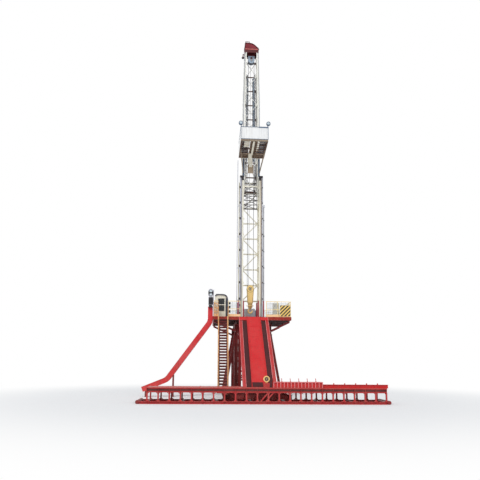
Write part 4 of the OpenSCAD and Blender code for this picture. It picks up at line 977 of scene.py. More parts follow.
def dressBlock():
    size = hoist
    pin, low, rimR, half = size["pin"], size["low"], size["rimR"], size["footHalf"]
    guards, bolts, rims = newMeshes(3)
    for side in (-1, 1):
        addBar(guards, (side * 318, 0, pin - 115), (side * 246, 0, low + 118), 208, 12)
        y = side * size["cheek"]
        addRod(bolts, (0, y, pin), (0, y + side * 26, pin), 92, 24)
        addRod(bolts, (0, y + side * 26, pin), (0, y + side * 44, pin), 52, 6)
        for k in range(9):
            turn = radians(-12 + 204 * k / 8)
            place = (size["cheekR"] * cos(turn), y, pin + size["cheekR"] * sin(turn))
            addBolt(bolts, place, (0, side, 0), 16, 12)
        for k in range(5):
            for way in (-1, 1):
                place = (way * (half + 14 * k), y, low + 90 + k * 230)
                addBolt(bolts, place, (0, side, 0), 16, 12)
        for wide, up, deep in ((150, 420, 300), (210, 1000, 90)):
            face = y + side * 7
            addBar(guards, (-wide, face, low + up), (wide, face, low + up), 14, deep)
        y = side * (size["cheek"] + 2)
        addRing(rims, (0, y, pin), "Y", rimR, 12, start=180, swing=180, steps=28, sides=6)
        for x in (-1, 1):
            addRod(rims, (x * rimR, y, pin), (x * half, y, low + 60), 12, 6)
        addRing(rims, (0, y + side * 8, pin), "Y", 150, 14, steps=32, sides=6)
        addBlock(rims, (-half, y, low + 40), (half, y + side * 10, low + 92))
    finishPiece("blockRims", rims, "umberPaint", body="block")
    finishPiece("blockGuards", guards, "yellowPaint", body="block", chamfer=3)
    finishPiece("blockBolts", bolts, "bareSteel", body="block")


def dressHook():
    size = hoist
    low, arm = size["low"], size["low"] - size["arm"]
    bands, latch, dark = newMeshes(3)
    for z, radius in ((low - 20, 184), (arm, 180), (low - 318, 184)):
        addRing(bands, (0, 0, z), "Z", radius, 22, steps=40, sides=8)
    addBoltCircle(bands, (0, 0, low - 330), (0, 0, -1), 150, 10, 15, 14)
    for side in (-1, 1):
        addRod(bands, (side * 196, 0, arm), (side * 236, 0, arm), 42, 16)
        addRing(bands, (side * 262, 0, arm), "Y", 52, 15, steps=20, sides=6)
    for drop, wire in ((66, 17), (246, 22), (372, 15)):
        addRing(dark, (0, 0, low - drop), "Z", 186, wire, steps=40, sides=6)
    z, reach = size["hookZ"], size["hookR"]
    addBar(latch, (reach - 6, 0, z + 60), (40, 0, z + reach - 20), 46, 26)
    addRod(latch, (30, -50, z + reach - 14), (30, 50, z + reach - 14), 22, 16)
    finishPiece("hookBands", bands, "yellowPaint", body="hook", smooth=True)
    finishPiece("hookDarkBands", dark, "umberPaint", body="hook", smooth=True)
    finishPiece("hookLatch", latch, "bareSteel", body="hook", chamfer=3)


dressMastHead()
dressLowerMast()
dressZigzag()
dressMastGear()
dressUpperMast()
dressCrown()
reeveRopes()
dressBlock()
dressHook()
print("mast, crown and hoist dressed")


# Handrails: pale mesh between the posts, an orange strip on the toe boards,
# and post feet with their bolts
railRuns = {"floor": 6600, "high": 1300, "spacing": 104, "wire": 14, "toe": 200, "bay": 1000,
            "upright": 330, "front": [(-3270, -2970), (-2090, -1100), (1100, 3030)],
            "frontY": -3540, "sides": [(-3340, -2650, 3430), (3140, -3540, 3430)],
            "backY": 3540, "back": (-3340, 3140)}


def dressRails():
    size = railRuns
    floorZ, toe = size["floor"], size["toe"]
    railZ = floorZ + size["high"]
    mesh, toes, feet, bolts = newMeshes(4)
    runs = [((a, size["frontY"]), (b, size["frontY"])) for a, b in size["front"]]
    runs += [((x, a), (x, b)) for x, a, b in size["sides"]]
    runs.append(tuple((x, size["backY"]) for x in size["back"]))
    for (ax, ay), (bx, by) in runs:
        length = hypot(bx - ax, by - ay)
        z = floorZ + toe + 110
        while z < railZ - 60:
            if abs(z - floorZ - size["high"] / 2) > 50:
                addRod(mesh, (ax, ay, z), (bx, by, z), size["wire"], 5)
            z += size["spacing"]
        steps = max(1, round(length / size["upright"]))
        for k in range(1, steps):
            x, y = ax + (bx - ax) * k / steps, ay + (by - ay) * k / steps
            addRod(mesh, (x, y, floorZ + toe), (x, y, railZ - 20), 6, 5)
        outX = (8 if ax > 0 else -8) if ax == bx else 0
        outY = 0 if ax == bx else (8 if ay > 0 else -8)
        ends = [(x + outX, y + outY, floorZ + 112) for x, y in ((ax, ay), (bx, by))]
        addBar(toes, *ends, 6, toe - 8)
        bays = max(1, round(length / size["bay"]))
        for k in range(bays + 1):
            x, y = ax + (bx - ax) * k / bays, ay + (by - ay) * k / bays
            addBlock(feet, (x - 50, y - 38, floorZ), (x + 50, y + 38, floorZ + 12))
            for dx in (-36, 36):
                for dy in (-24, 24):
                    addBolt(bolts, (x + dx, y + dy, floorZ + 12), (0, 0, 1), 9, 9)
            addRod(feet, (x, y, railZ - 6), (x, y, railZ + 30), 30, 10)
    finishPiece("railMesh", mesh, "meshPaint")
    finishPiece("toeStrips", toes, "toePaint", chamfer=1.5)
    finishPiece("railFeet", feet, "railPaint", chamfer=3)
    finishPiece("railBolts", bolts, "bareSteel")


# Gate beside the slide's mouth and the small boxes on the rail by the booth
railGear = {"gatePosts": (-3290, -3130, -2975), "gateBars": ((1150, 160), (800, 120), (420, 60)),
            "boxLevels": (330, 700, 1010), "sideBoxes": ((880, 1060), (240, 380))}


def dressRailGear():
    size, floorZ = railGear, railRuns["floor"]
    gate, boxes = newMeshes(2)
    for x in size["gatePosts"]:
        addRod(gate, (x, -3580, floorZ + 20), (x, -3580, floorZ + 1180), 30, 8)
    for z, drop in size["gateBars"]:
        addBar(gate, (-3300, -3590, floorZ + z), (-2960, -3590, floorZ + z - drop), 30, 60)
    for z in size["boxLevels"]:
        addBlock(boxes, (-2065, -3640, floorZ + z), (-1925, -3560, floorZ + z + 190))
        addBlock(boxes, (-2050, -3560, floorZ + z + 60), (-1940, -3535, floorZ + z + 130))
    for low, high in size["sideBoxes"]:
        addBlock(boxes, (-1200, -3600, floorZ + low), (-1110, -3548, floorZ + high))
    finishPiece("slideGate", gate, "tanPaint", chamfer=2)
    finishPiece("railBoxes", boxes, "darkPaint", chamfer=5)


# Floor edge: stiffeners and bolt rows under the toe boards, rotary table top
floorTrim = {"left": -3400, "right": 3200, "front": -3600, "back": 3600, "top": 6600, "edge": 270,
             "rampHalf": 1300, "slideBack": -2600, "ribs": 14, "ribThick": 9, "bolts": 26,
             "boltPitch": 250, "rotary": 650, "bore": 260, "cap": 60, "boltRing": 470,
             "lugRing": 300}


def dressFloor():
    size = floorTrim
    ribs, bolts, table = newMeshes(3)
    low, high = size["top"] - size["edge"], size["top"]
    count, thick = size["ribs"], size["ribThick"]
    for k in range(count + 1):
        x = size["left"] + 40 + (size["right"] - size["left"] - 80) * k / count
        for y, way in ((size["front"], -1), (size["back"], 1)):
            if way > 0 or abs(x) >= size["rampHalf"]:
                addBlock(ribs, (x - 7, y, low + 10), (x + 7, y + way * thick, high - 10))
        y = size["front"] + 40 + (size["back"] - size["front"] - 80) * k / count
        for x, way in ((size["left"], -1), (size["right"], 1)):
            if way > 0 or y >= size["slideBack"]:
                addBlock(ribs, (x, y - 7, low + 10), (x + way * thick, y + 7, high - 10))
    for y, way in ((size["front"], -1), (size["back"], 1)):
        for k in range(size["bolts"]):
            x = size["left"] + 160 + k * size["boltPitch"]
            if x < size["right"] - 60 and (way > 0 or abs(x) >= size["rampHalf"]):
                addBolt(bolts, (x, y, low + 60), (0, way, 0), 14, 10)
    cap = size["top"] + size["cap"]
    addRing(table, (0, 0, cap), "Z", size["rotary"] - 60, 9, steps=48, sides=6)
    addRing(table, (0, 0, cap), "Z", size["bore"] + 110, 8, steps=40, sides=6)
    addBoltCircle(table, (0, 0, cap), (0, 0, 1), size["boltRing"], 16, 22, 16)
    for k in range(4):
        turn = pi / 4 + pi / 2 * k
        x, y = size["lugRing"] * cos(turn), size["lugRing"] * sin(turn)
        addBlock(table, (x - 34, y - 34, size["top"] + 36), (x + 34, y + 34, cap + 12))
    finishPiece("floorEdgeRibs", ribs, "edgePaint")
    finishPiece("floorEdgeBolts", bolts, "bareSteel")
    finishPiece("rotaryTrim", table, "bareSteel", chamfer=1.5)


# Driller's booth: window frames, wipers, door panel, the roof's rolled edge and
# the hood
booth = {"x0": -3230, "x1": -2100, "y0": -2300, "y1": -600, "floor": 6600, "high": 2060,
         "round": 420, "winX": -2920, "winWide": 620, "winHigh": 440, "winZ": (7220, 7800),
         "frame": 34, "hood": 50, "sideWin": (500, 1200, 7650, 8150),
         "doorX": (-3044, -2356), "doorTop": 8490, "hinges": (7000, 7560, 8200),
         "handleX": -2440, "handleZ": (7540, 7740)}


def addFrame(bm, x0, x1, z0, z1, y, bar, deep):
    addBlock(bm, (x0 - bar, y, z0 - bar), (x1 + bar, y + deep, z0))
    addBlock(bm, (x0 - bar, y, z1), (x1 + bar, y + deep, z1 + bar))
    addBlock(bm, (x0 - bar, y, z0), (x0, y + deep, z1))
    addBlock(bm, (x1, y, z0), (x1 + bar, y + deep, z1))


def dressBooth():
    size = booth
    frames, trim, dark, hood = newMeshes(4)
    x0, x1, front, back = size["x0"], size["x1"], size["y0"], size["y1"]
    floorZ, around = size["floor"], size["round"]
    top = floorZ + size["high"]
    winX, wide, high = size["winX"], size["winWide"], size["winHigh"]
    for z in size["winZ"]:
        addFrame(frames, winX, winX + wide, z, z + high, front - 16, size["frame"], 16)
        middle = winX + wide / 2
        addBlock(dark, (middle - 9, front - 8, z), (middle + 9, front + 18, z + high))
        addRod(dark, (winX + 160, front - 14, z + high - 10),
               (winX + 250, front - 14, z + 120), 7, 6)
    for x in (x0 + 30, x1 - 30):
        addBlock(trim, (x - 22, front - 10, floorZ + 20), (x + 22, front, top - 480))
    for low, up in ((floorZ + 20, floorZ + 90), (7695, 7740)):
        addBlock(trim, (x0 + 30, front - 10, low), (x1 - 30, front, up))
    # Rolled edge of the roof, front and back, with its arc below the shoulder
    for y in (front - 4, back + 4):
        addRing(dark, (x1 - around, y, top - around), "Y", around - 6, 16,
                start=-90, swing=90, steps=10)
        addRod(dark, (x0 + 110, y, top - 8), (x1 - around, y, top - 8), 16, 8)
        addRod(dark, (x1 - 8, y, floorZ + 40), (x1 - 8, y, top - around), 16, 8)
    # Hood that stands out round the front's top and right side
    shoulder = [(x0 + 30, top - 190), (x0 + 120, top - 50)]
    for k in range(7):
        turn, reach = pi / 2 - pi / 2 * k / 6, around - size["hood"]
        shoulder.append((x1 - around + reach * cos(turn), top - around + reach * sin(turn)))
    shoulder.append((x1 - size["hood"], floorZ + 60))
    for (ax, az), (bx, bz) in zip(shoulder, shoulder[1:]):
        addBar(hood, (ax, front - 24, az), (bx, front - 24, bz), 90, 96)
    addBlock(hood, (x1 - 190, front - 14, floorZ + 60), (x1 - 60, front, top - 330))
    addBlock(trim, (x1 - 300, front - 30, floorZ + 60), (x1 - 212, front - 8, top - 300))
    for k in range(5):
        y = front + 180 + k * 340
        addBlock(dark, (x1, y - 10, floorZ + 60), (x1 + 10, y + 10, top - around))
        addBlock(dark, (x0 + 140, y - 12, top), (x1 - around, y + 12, top + 14))
    # Side window frame and the panel of the back door
    near, far, z0, z1 = size["sideWin"]
    y0, y1 = front + near, front + far
    for (ya, za), (yb, zb) in (((y0 - 30, z0 - 30), (y1 + 30, z0)),
                               ((y0 - 30, z1), (y1 + 30, z1 + 30)),
                               ((y0 - 30, z0), (y0, z1)), ((y1, z0), (y1 + 30, z1))):
        addBlock(frames, (x1, ya, za), (x1 + 14, yb, zb))
    d0, d1 = size["doorX"]
    addBlock(trim, (d0, back - 34, floorZ + 8), (d1, back - 6, size["doorTop"]))
    finishPiece("boothFrames", frames, "darkPaint", chamfer=3)
    finishPiece("boothTrim", trim, "creamPaint", chamfer=3)
    finishPiece("boothRoofEdge", dark, "darkPaint")
    finishPiece("boothHood", hood, "roofPaint", chamfer=4)


# Hinges and handle of the booth's back door, and the bolts on its front
def dressBoothFittings():
    size = booth
    fittings = bmesh.new()
    back, hinge, handle = size["y1"], size["doorX"][0] - 2, size["handleX"]
    for z in size["hinges"]:
        addRod(fittings, (hinge, back - 2, z - 60), (hinge, back - 2, z + 60), 14, 8)
    low, high = size["handleZ"]
    addRod(fittings, (handle, back + 20, low), (handle, back + 20, high), 11, 8)
    for z in (low, high):
        addRod(fittings, (handle, back - 8, z), (handle, back + 20, z), 9, 8)
    for x in (size["x0"] + 30, size["x1"] - 30):
        for k in range(6):
            place = (x, size["y0"] - 10, size["floor"] + 120 + k * 250)
            addBolt(fittings, place, (0, -1, 0), 9, 7)
    finishPiece("boothFittings", fittings, "bareSteel")


# Lamp and box of louvres at the floor's left corner, and the tool cabinet
cornerGear = {"boxX": (-3775, -3355), "boxY": (-3665, -3445), "boxZ": (7550, 8200),
              "postFoot": 7330, "louvres": 9, "louvrePitch": 62, "lampX": -3585, "lampFront": -3675,
              "lampZ": (8410, 8690), "lampR": 210, "lensR": 128, "cabX": (1690, 2190),
              "cabY": (-3380, -3000), "cabZ": (6600, 7780), "slots": 5, "slotPitch": 38,
              "handle": (560, 700)}


def dressCorner():
    size = cornerGear
    rim, lens, dark, doors, bolts = newMeshes(5)
    y, lampX, across = size["lampFront"] - 6, size["lampX"], size["lampR"] - 26
    low, high = size["lampZ"]
    for middle, start in ((high, 180), (low, 0)):
        addRing(rim, (lampX, y, middle), "Y", across, 24, start=start, swing=180, steps=16)
    for x in (lampX - across, lampX + across):
        addRod(rim, (x, y, low), (x, y, high), 24, 8)
    for z in (low + 10, high - 10):
        addRod(lens, (lampX, y + 8, z), (lampX, y - 14, z), size["lensR"], 28, 96)
        addRing(rim, (lampX, y - 6, z), "Y", size["lensR"] + 2, 12, steps=24, sides=6)
    (x0, x1), (y0, y1), (z0, z1) = size["boxX"], size["boxY"], size["boxZ"]
    addBlock(dark, (x0 + 20, y0 - 14, z0 + 20), (x1 - 30, y0, z1 - 20))
    for k in range(size["louvres"]):
        z = z0 + 70 + k * size["louvrePitch"]
        addBar(dark, (x0 + 60, y0 - 18, z), (x1 - 70, y0 - 18, z), 18, 34)
    # Post from the slide's rim up to the box
    addBlock(dark, (x0 + 30, y0 + 40, size["postFoot"]), (x1 - 120, y1 - 30, z0 + 30))
    addBar(dark, (x1 - 60, y0 + 60, z0 - 210), (x1 - 160, y0 + 60, z0 + 20), 60, 60)
    addRod(bolts, (x1 - 46, y0 - 26, z0 + 280), (x1 - 46, y0 - 26, z0 + 380), 10, 8)
    (x0, x1), (y0, y1), (z0, z1) = size["cabX"], size["cabY"], size["cabZ"]
    middle = (x0 + x1) / 2
    for a, b in ((x0 + 18, middle - 6), (middle + 6, x1 - 18)):
        addBlock(doors, (a, y0 - 12, z0 + 60), (b, y0, z1 - 30))
        for k in range(size["slots"]):
            z = z1 - 160 - k * size["slotPitch"]
            addBlock(bolts, (a + 50, y0 - 18, z), (b - 50, y0 - 12, z + 12))
    low, high = (z0 + up for up in size["handle"])
    addRod(bolts, (middle - 40, y0 - 34, low), (middle - 40, y0 - 34, high), 9, 8)
    for z in (low, high):
        addRod(bolts, (middle - 40, y0 - 34, z), (middle - 40, y0 - 12, z), 8, 6)
    addBlock(doors, (x0 - 14, y0 - 14, z1 - 6), (x1 + 14, y1 + 14, z1 + 16))
    finishPiece("cornerLampRim", rim, "darkPaint", smooth=True)
    finishPiece("cornerLampLens", lens, "lensGlass", smooth=True)
    finishPiece("cornerBoxVents", dark, "darkPaint", chamfer=3)
    finishPiece("cabinetDoors", doors, "creamPaint", chamfer=4)
    finishPiece("cabinetFittings", bolts, "bareSteel")


# Frame and clamps of the striped panel
hazard = {"x": (2258, 3122), "z": (6678, 7582), "y": -3586, "clampX": (2300, 2690, 3080),
          "clampZ": (7240, 7560)}


def dressHazardPanel():
    size = hazard
    bars = bmesh.new()
    addFrame(bars, *size["x"], *size["z"], size["y"], 18, 10)
    for x in size["clampX"]:
        for z in size["clampZ"]:
            addRod(bars, (x, size["y"] - 4, z), (x, size["y"] + 56, z), 12, 8)
    finishPiece("hazardFrame", bars, "railPaint", chamfer=2)


# Stair: kick plates, nosings, stringer flanges and the bolts of the treads
stair = {"x": -2530, "wide": 760, "top": -3600.3, "floor": 6600, "low": 560, "run": 2700,
         "risers": 27, "lift": 460, "deep": 260, "headGap": 250, "footGap": 80, "faceLift": 60,
         "landing": (-6590, -5910)}


def dressStair():
    size = stair
    noses, edges, flanges, bolts = newMeshes(4)
    rise = (size["floor"] - size["low"]) / size["risers"]
    going = size["run"] / size["risers"]
    middle, half = size["x"], size["wide"] / 2
    inner = half - 46
    for i in range(1, size["risers"]):
        front = size["top"] - (i + 1) * going - 60
        z = size["floor"] - i * rise
        # Dark kick plates under each nosing, painted shade of the treads seen from below
        addBlock(noses, (middle - inner, front - 4, z - 148), (middle + inner, front + 10, z - 8))
        addBlock(edges, (middle - inner, front - 10, z - 12), (middle + inner, front + 26, z + 5))
        for side in (-1, 1):
            for dy in (50, 120):
                addBolt(bolts, (middle + side * half, front + dy, z - 30), (side, 0, 0), 11, 9)

    def alongStair(bm, x, lift, wide, deep):
        head, foot = size["headGap"], size["footGap"]
        addBar(bm, (x, size["top"] - head, size["floor"] + lift - head * rise / going),
               (x, size["top"] - size["run"] + foot, size["low"] + lift + foot * rise / going),
               wide, deep)

    drop = size["deep"] / cos(atan2(rise, going))
    for side in (-1, 1):
        for lift in (size["lift"] - 6, size["lift"] - drop + 6):
            if lift > 0:
                alongStair(flanges, middle + side * (half - 14), lift, 46, 12)
        # Painted shade: a dark plate on the inner face of each stringer
        alongStair(noses, middle + side * (half - 74), size["faceLift"], 96, 210)
    back, front = size["landing"]
    for k in range(5):
        x = middle - half + k * half / 2
        addBlock(flanges, (x - 12, back, size["low"]), (x + 12, front, size["low"] + 12))
    finishPiece("stairKickPlates", noses, "maroonShadePaint")
    finishPiece("stairNosings", edges, "stepPaint", chamfer=3)
    finishPiece("stairFlanges", flanges, "tanPaint", chamfer=2)
    finishPiece("stairBolts", bolts, "bareSteel")


# Pipe ramp: caps at the floor, cross seams, rubbing bars and side stiffeners
ramp = {"top": (-3600.3, 6600), "foot": (-9450, 1100), "plate": 1160, "wide": 2430, "outer": 260,
        "ribs": 13, "ribFirst": 620, "seams": 6, "seamFirst": 1300, "seamPitch": 1250,
        "seamHalf": 536, "rubbing": 420, "rungs": 9, "rungFirst": 760, "rungPitch": 780}


# Point on the ramp: so far down it from its top, and so far off its plate
def onRamp(x, along, off):
    (y0, z0), (y1, z1) = ramp["top"], ramp["foot"]
    length = hypot(y0 - y1, z0 - z1)
    c, s = (y0 - y1) / length, (z0 - z1) / length
    return (x, y0 - along * c - off * s, z0 - along * s + off * c)


def dressRamp():
    size = ramp
    caps, seams, ribs, bolts, edges, rungs, foot = newMeshes(7)
    length = hypot(*[head - low for head, low in zip(size["top"], size["foot"])])
    plate, edge = size["plate"] / 2, size["wide"] / 2
    away = Vector(onRamp(0, 0, 1)) - Vector(onRamp(0, 0, 0))

    def alongRamp(bm, x, near, far, off, wide, deep):
        addBar(bm, onRamp(x, near, off), onRamp(x, far, off), wide, deep)

    for side in (-1, 1):
        inner = plate + 4
        alongRamp(caps, side * (inner + edge) / 2, 40, 470, -8, edge - inner, 24)
        for k in range(4):
            x = inner + 60 + k * (edge - inner - 120) / 3
            for along in (90, 420):
                addBolt(bolts, onRamp(side * x, along, 4), away, 17, 14)
        for k in range(size["ribs"]):
            along = size["ribFirst"] + k * (length - 900) / (size["ribs"] - 1)
            for inset, wide in ((6, 12), (34, 70)):
                x = side * (edge - inset)
                addBar(ribs, onRamp(x, along, -52), onRamp(x, along, -258), wide, 12)
    for k in range(size["seams"]):
        along, half = size["seamFirst"] + k * size["seamPitch"], size["seamHalf"]
        addBar(seams, onRamp(-half, along, 1), onRamp(half, along, 1), 14, 5)
    for x in (-size["rubbing"], size["rubbing"]):
        alongRamp(seams, x, 60, length - 120, 3, 34, 10)
    for side in (-1, 1):
        # Pink lines along the plate's and rails' edges: painted highlight
        alongRamp(edges, side * (plate - 20), 30, length - 560, 6, 34, 14)
        alongRamp(edges, side * (edge - size["outer"] + 16), 480, length - 40, 0, 26, 30)
        alongRamp(edges, side * (edge - 14), 40, length - 40, 4, 24, 16)
        near, far = side * (plate + 20), side * (edge - size["outer"] - 10)
        for k in range(size["rungs"]):
            along = size["rungFirst"] + k * size["rungPitch"]
            addBar(rungs, onRamp(near, along, -70), onRamp(far, along, -70), 70, 60)
            addBar(rungs, onRamp(near, along + 90, -96), onRamp(far, along + 700, -96), 40, 40)
    # Painted shadow: dark strips over the ramp's lower end, where the shade under it falls
    alongRamp(foot, -plate, length - 500, length - 60, 10, 24, 40)
    alongRamp(foot, -180, length - 470, length - 20, 6, 800, 16)
    finishPiece("rampRungs", rungs, "maroonShadePaint")
    finishPiece("rampEdges", edges, "roseHighlightPaint", chamfer=3)
    finishPiece("rampFootShadow", foot, "paintedShadowPaint")
    finishPiece("rampCaps", caps, "redPaint", chamfer=4)
    finishPiece("rampSeams", seams, "redPaint")
    finishPiece("rampRibs", ribs, "brickPaint")
    finishPiece("rampBolts", bolts, "bareSteel")


dressRailGear()
dressRails()
dressFloor()
dressBooth()
dressBoothFittings()
dressCorner()
dressHazardPanel()
dressStair()
dressRamp()
print("floor, booth, stair and ramp dressed")


# Escape slide: rolled rims, ribs round the trough, and a liner
slide = {"floorLeft": 3400.3, "deep": 400, "wide": 700, "y": -3100, "slope": 54, "run": 5400,
         "reach": 9100, "bend": 6370, "r1": 700, "r2": 900, "tail": -68, "top": 7400, "skin": 20,
         "steps": 8, "rim": 19, "ribPitch": 640, "linerTop": 6600}


# The trough's line seen from the front, so far off its middle: straight down
# from the mouth, round the upper bend, down the slope, round the lower bend
def slidePath(offset):
    size = slide
    x0 = -size["floorLeft"] - size["deep"] / 2
    turn1, turn2, steps = size["slope"] - 90, size["tail"], size["steps"]

    def away(angle):
        return Vector((cos(radians(angle)), sin(radians(angle))))

    def down(angle):
        return Vector((sin(radians(angle)), -cos(radians(angle))))

    def bend(middle, radius, start, end):
        return [middle + (radius + offset) * away(start + (end - start) * i / steps)
                for i in range(steps + 1)]

    upper = Vector((x0 - size["r1"], size["bend"]))
    slopeFoot = upper + size["r1"] * away(turn1) + size["run"] * down(turn1)
    lower = slopeFoot - size["r2"] * away(turn1)
    tailHead = lower + size["r2"] * away(turn2)
    tail = (size["deep"] / 2 * away(turn2).x - size["reach"] - tailHead.x) / down(turn2).x
    points = [Vector((x0 + offset, size["top"]))]
    points += bend(upper, size["r1"], 0, turn1) + bend(lower, size["r2"], turn1, turn2)
    points.append(tailHead + tail * down(turn2) + offset * away(turn2))
    return points


def dressSlide():
    size = slide
    deep, y, wide, rim, top = size["deep"], size["y"], size["wide"] / 2, size["rim"], size["top"]
    rims, ribs, liner, bolts = newMeshes(4)
    openSide, closed = slidePath(-deep / 2)[1:], slidePath(deep / 2 - 6)
    for side in (-1, 1):
        edge = y + side * (wide - 6)
        for a, b in zip(openSide, openSide[1:]):
            addRod(rims, (a.x, edge, a.y), (b.x, edge, b.y), rim, 10)
    head = size["steps"] + 1
    for start, end in (closed[head:head + 2], closed[-2:]):
        run = end - start
        count = int(run.length // size["ribPitch"])
        along = run.normalized()
        inward = Vector((along.y, -along.x))
        for k in range(count + 1):
            at = start + along * (160 + k * (run.length - 260) / max(1, count))
            far = at + inward * (deep - 34)
            for side in (-1, 1):
                face = y + side * (wide + 5)
                addBar(ribs, (at.x, face, at.y), (far.x, face, far.y), 8, 44)
                for bolt in (at + inward * 60, far - inward * 40):
                    addBolt(bolts, (bolt.x, face + side * 4, bolt.y), (0, side, 0), 11, 8)
    smooth = slidePath(deep / 2 - size["skin"] - 3)[1:]
    for a, b in zip(smooth, smooth[1:]):
        if a.y < size["linerTop"]:
            addBar(liner, (a.x, y, a.y), (b.x, y, b.y), size["wide"] - 60, 4)
    x0 = -size["floorLeft"] - deep
    for edge in (y - wide, y + wide):
        addRod(rims, (x0 + 6, edge, top), (x0 + deep - 8, edge, top), rim, 10)
    addRod(rims, (x0 + 8, y - wide, top), (x0 + 8, y + wide, top), rim, 10)
    finishPiece("slideRims", rims, "slidePaint", smooth=True)
    finishPiece("slideRibs", ribs, "slidePaint", chamfer=2)
    finishPiece("slideLiner", liner, "linerPaint")
    finishPiece("slideBolts", bolts, "bareSteel")


# Front platform: web stiffeners in the chords, gussets at the posts, deck
# seams with their bolts, lifting eyes and stanchion pins
platform = {"x0": -7780, "x1": 8739.7, "front": -10350, "back": -8200, "deck": 1100, "plate": 30,
            "topChord": 300, "lowChord": 190, "chord": 180, "post": 100, "posts": 22,
            "flange": 24, "ribDeep": 78, "seams": 12,
            "eyes": (-7300, -4200, -1600, 1500, 5200, 8300),
            "pins": (900, 1500, 2100, 2700, 3300, 3900), "pinY": -9690, "pinZ": 1500,
            "endRings": (-8370, 8870), "endRingY": (-10310, -8240)}


def dressPlatform():
    size = platform
    x0, x1, front, back, deck = (size[key] for key in ("x0", "x1", "front", "back", "deck"))
    ribs, gussets, lugs, bolts, pins, webs = newMeshes(6)
    post, posts, flange, deep = size["post"], size["posts"], size["flange"], size["ribDeep"]
    step = (x1 - x0 - post) / posts
    top = deck - size["plate"]
    low, foot = top - size["topChord"], size["lowChord"]
    for i in range(posts + 1):
        x = x0 + i * step + post / 2
        for y, way in ((front, 1), (back, -1)):
            addBlock(ribs, (x - 7, y, low + flange), (x + 7, y + way * deep, top - flange))
            addBlock(ribs, (x - 7, y, flange), (x + 7, y + way * deep, foot - flange))
            mid = y + way * (size["chord"] / 2 - post / 2 - 5)
            for side in (-1, 1):
                if i == (0 if side < 0 else posts):
                    continue
                px = x + side * post / 2
                for dz, z in ((1, foot), (-1, low)):
                    addBar(gussets, (px - side * 10, mid, z + dz * 70),
                           (px + side * 78, mid, z + dz * 4), 9, 46)
                    place = (px + side * 22, mid - 5 * way, z + dz * 34)
                    addBolt(bolts, place, (0, -way, 0), 10, 8)
    for k in range(size["seams"] + 1):
        x = x0 + 60 + k * (x1 - x0 - 120) / size["seams"]
        addBlock(lugs, (x - 5, front + 20, deck), (x + 5, back - 20, deck + 6))
        for y in (front + 60, back - 60):
            for dx in (-34, 34):
                addBolt(bolts, (x + dx, y, deck), (0, 0, 1), 13, 9)
    for x in size["eyes"]:
        for y in (front + 46, back - 46):
            addRing(lugs, (x, y, deck + 36), "Y", 34, 10, start=180, swing=180, steps=10, sides=6)
            for dx in (-34, 34):
                addBlock(lugs, (x + dx - 10, y - 10, deck), (x + dx + 10, y + 10, deck + 38))
    pinY, pinZ = size["pinY"], size["pinZ"]
    for x in size["pins"]:
        addRod(pins, (x, pinY, pinZ), (x - 26, pinY, pinZ + 230), 22, 8)
        addRod(pins, (x, pinY, pinZ), (x, pinY, pinZ + 24), 44, 12)
    for x in size["endRings"]:
        for y in size["endRingY"]:
            addRing(bolts, (x, y, 130), "Y", 96, 12, steps=24, sides=6)
    # Shaded webs of the top chords, so that each shows as two bright flanges
    for y, way in ((front, 1), (back, -1)):
        addBlock(webs, (x0 + 20, y + way * 56, low + 110), (x1 - 20, y + way * 76, top - 84))
    finishPiece("platformWebs", webs, "maroonShadePaint")
    finishPiece("platformStiffeners", ribs, "crimsonPaint")
    finishPiece("platformGussets", gussets, "crimsonPaint")
    finishPiece("platformLugs", lugs, "redPaint")
    finishPiece("platformBolts", bolts, "bareSteel")
    finishPiece("deckPins", pins, "redPaint")


# Raised deck: shaded sheet between its ribs, and a nosing on each with a painted highlight
raised = {"x0": 820, "long": 3450, "rib": 70, "pitch": 240, "low": 1100, "high": 1500,
          "front": -10270}


def dressRaisedDeck():
    size = raised
    x0, rib, front, low, high = (size[key] for key in ("x0", "rib", "front", "low", "high"))
    shade, noses = newMeshes(2)
    ribs = int((size["long"] - rib) // size["pitch"])
    step = (size["long"] - rib) / ribs
    for i in range(ribs + 1):
        x = x0 + i * step
        addBlock(noses, (x + 14, front - 8, low + 10), (x + rib - 14, front, high - 10))
        if i < ribs:
            addBlock(shade, (x + rib + 6, front + 40, low + rib),
                     (x + step - 6, front + 62, high - rib))
    addBlock(noses, (x0, front - 10, high - 26), (x0 + size["long"], front, high))
    finishPiece("raisedDeckShade", shade, "redPaint")
    finishPiece("raisedDeckNoses", noses, "roseHighlightPaint", chamfer=2)


# Return sheave at the ramp's foot: dark dished middle, rim bolts and pin
rampWheel = {"middle": (400, -9880, 1680), "dish": 126, "bolts": 6, "boltRing": 82,
             "footX": (230, 570), "footZ": (1180, 1340)}


def dressRampSheave():
    size = rampWheel
    x, y, z = size["middle"]
    dark, bolts = newMeshes(2)
    addRod(dark, (x, y - 8, z), (x, y - 20, z), size["dish"], 32, size["dish"] - 8)
    addRing(dark, (x, y - 30, z), "Y", size["dish"] + 2, 9, steps=32, sides=6)
    addRod(bolts, (x, y - 40, z), (x, y - 54, z), 26, 6)
    addBoltCircle(bolts, (x, y - 20, z), (0, -1, 0), size["boltRing"], size["bolts"], 12, 9)
    for footX in size["footX"]:
        for footZ in size["footZ"]:
            addBolt(bolts, (footX, y - 150, footZ), (0, -1, 0), 14, 10)
    finishPiece("rampSheaveDish", dark, "darkPaint")
    finishPiece("rampSheaveBolts", bolts, "bareSteel")


# Substructure: flanged joints, hinge pins and gussets on the leg frames, and
# stiffeners in the base skids
base = {"legX": 1400, "legY": 3100, "top": 5960, "skidX": 2350, "skidHigh": 500,
        "braceZ": (1400, 3430, 5760), "back": 3500, "front": -8199.7, "flange": 26, "hinge": 560,
        "pinZ": 5120, "ribs": 7, "ribFirst": 700, "ribPitch": 760, "skidRibs": 15,
        "eyes": (-7600, -3100, 3100)}


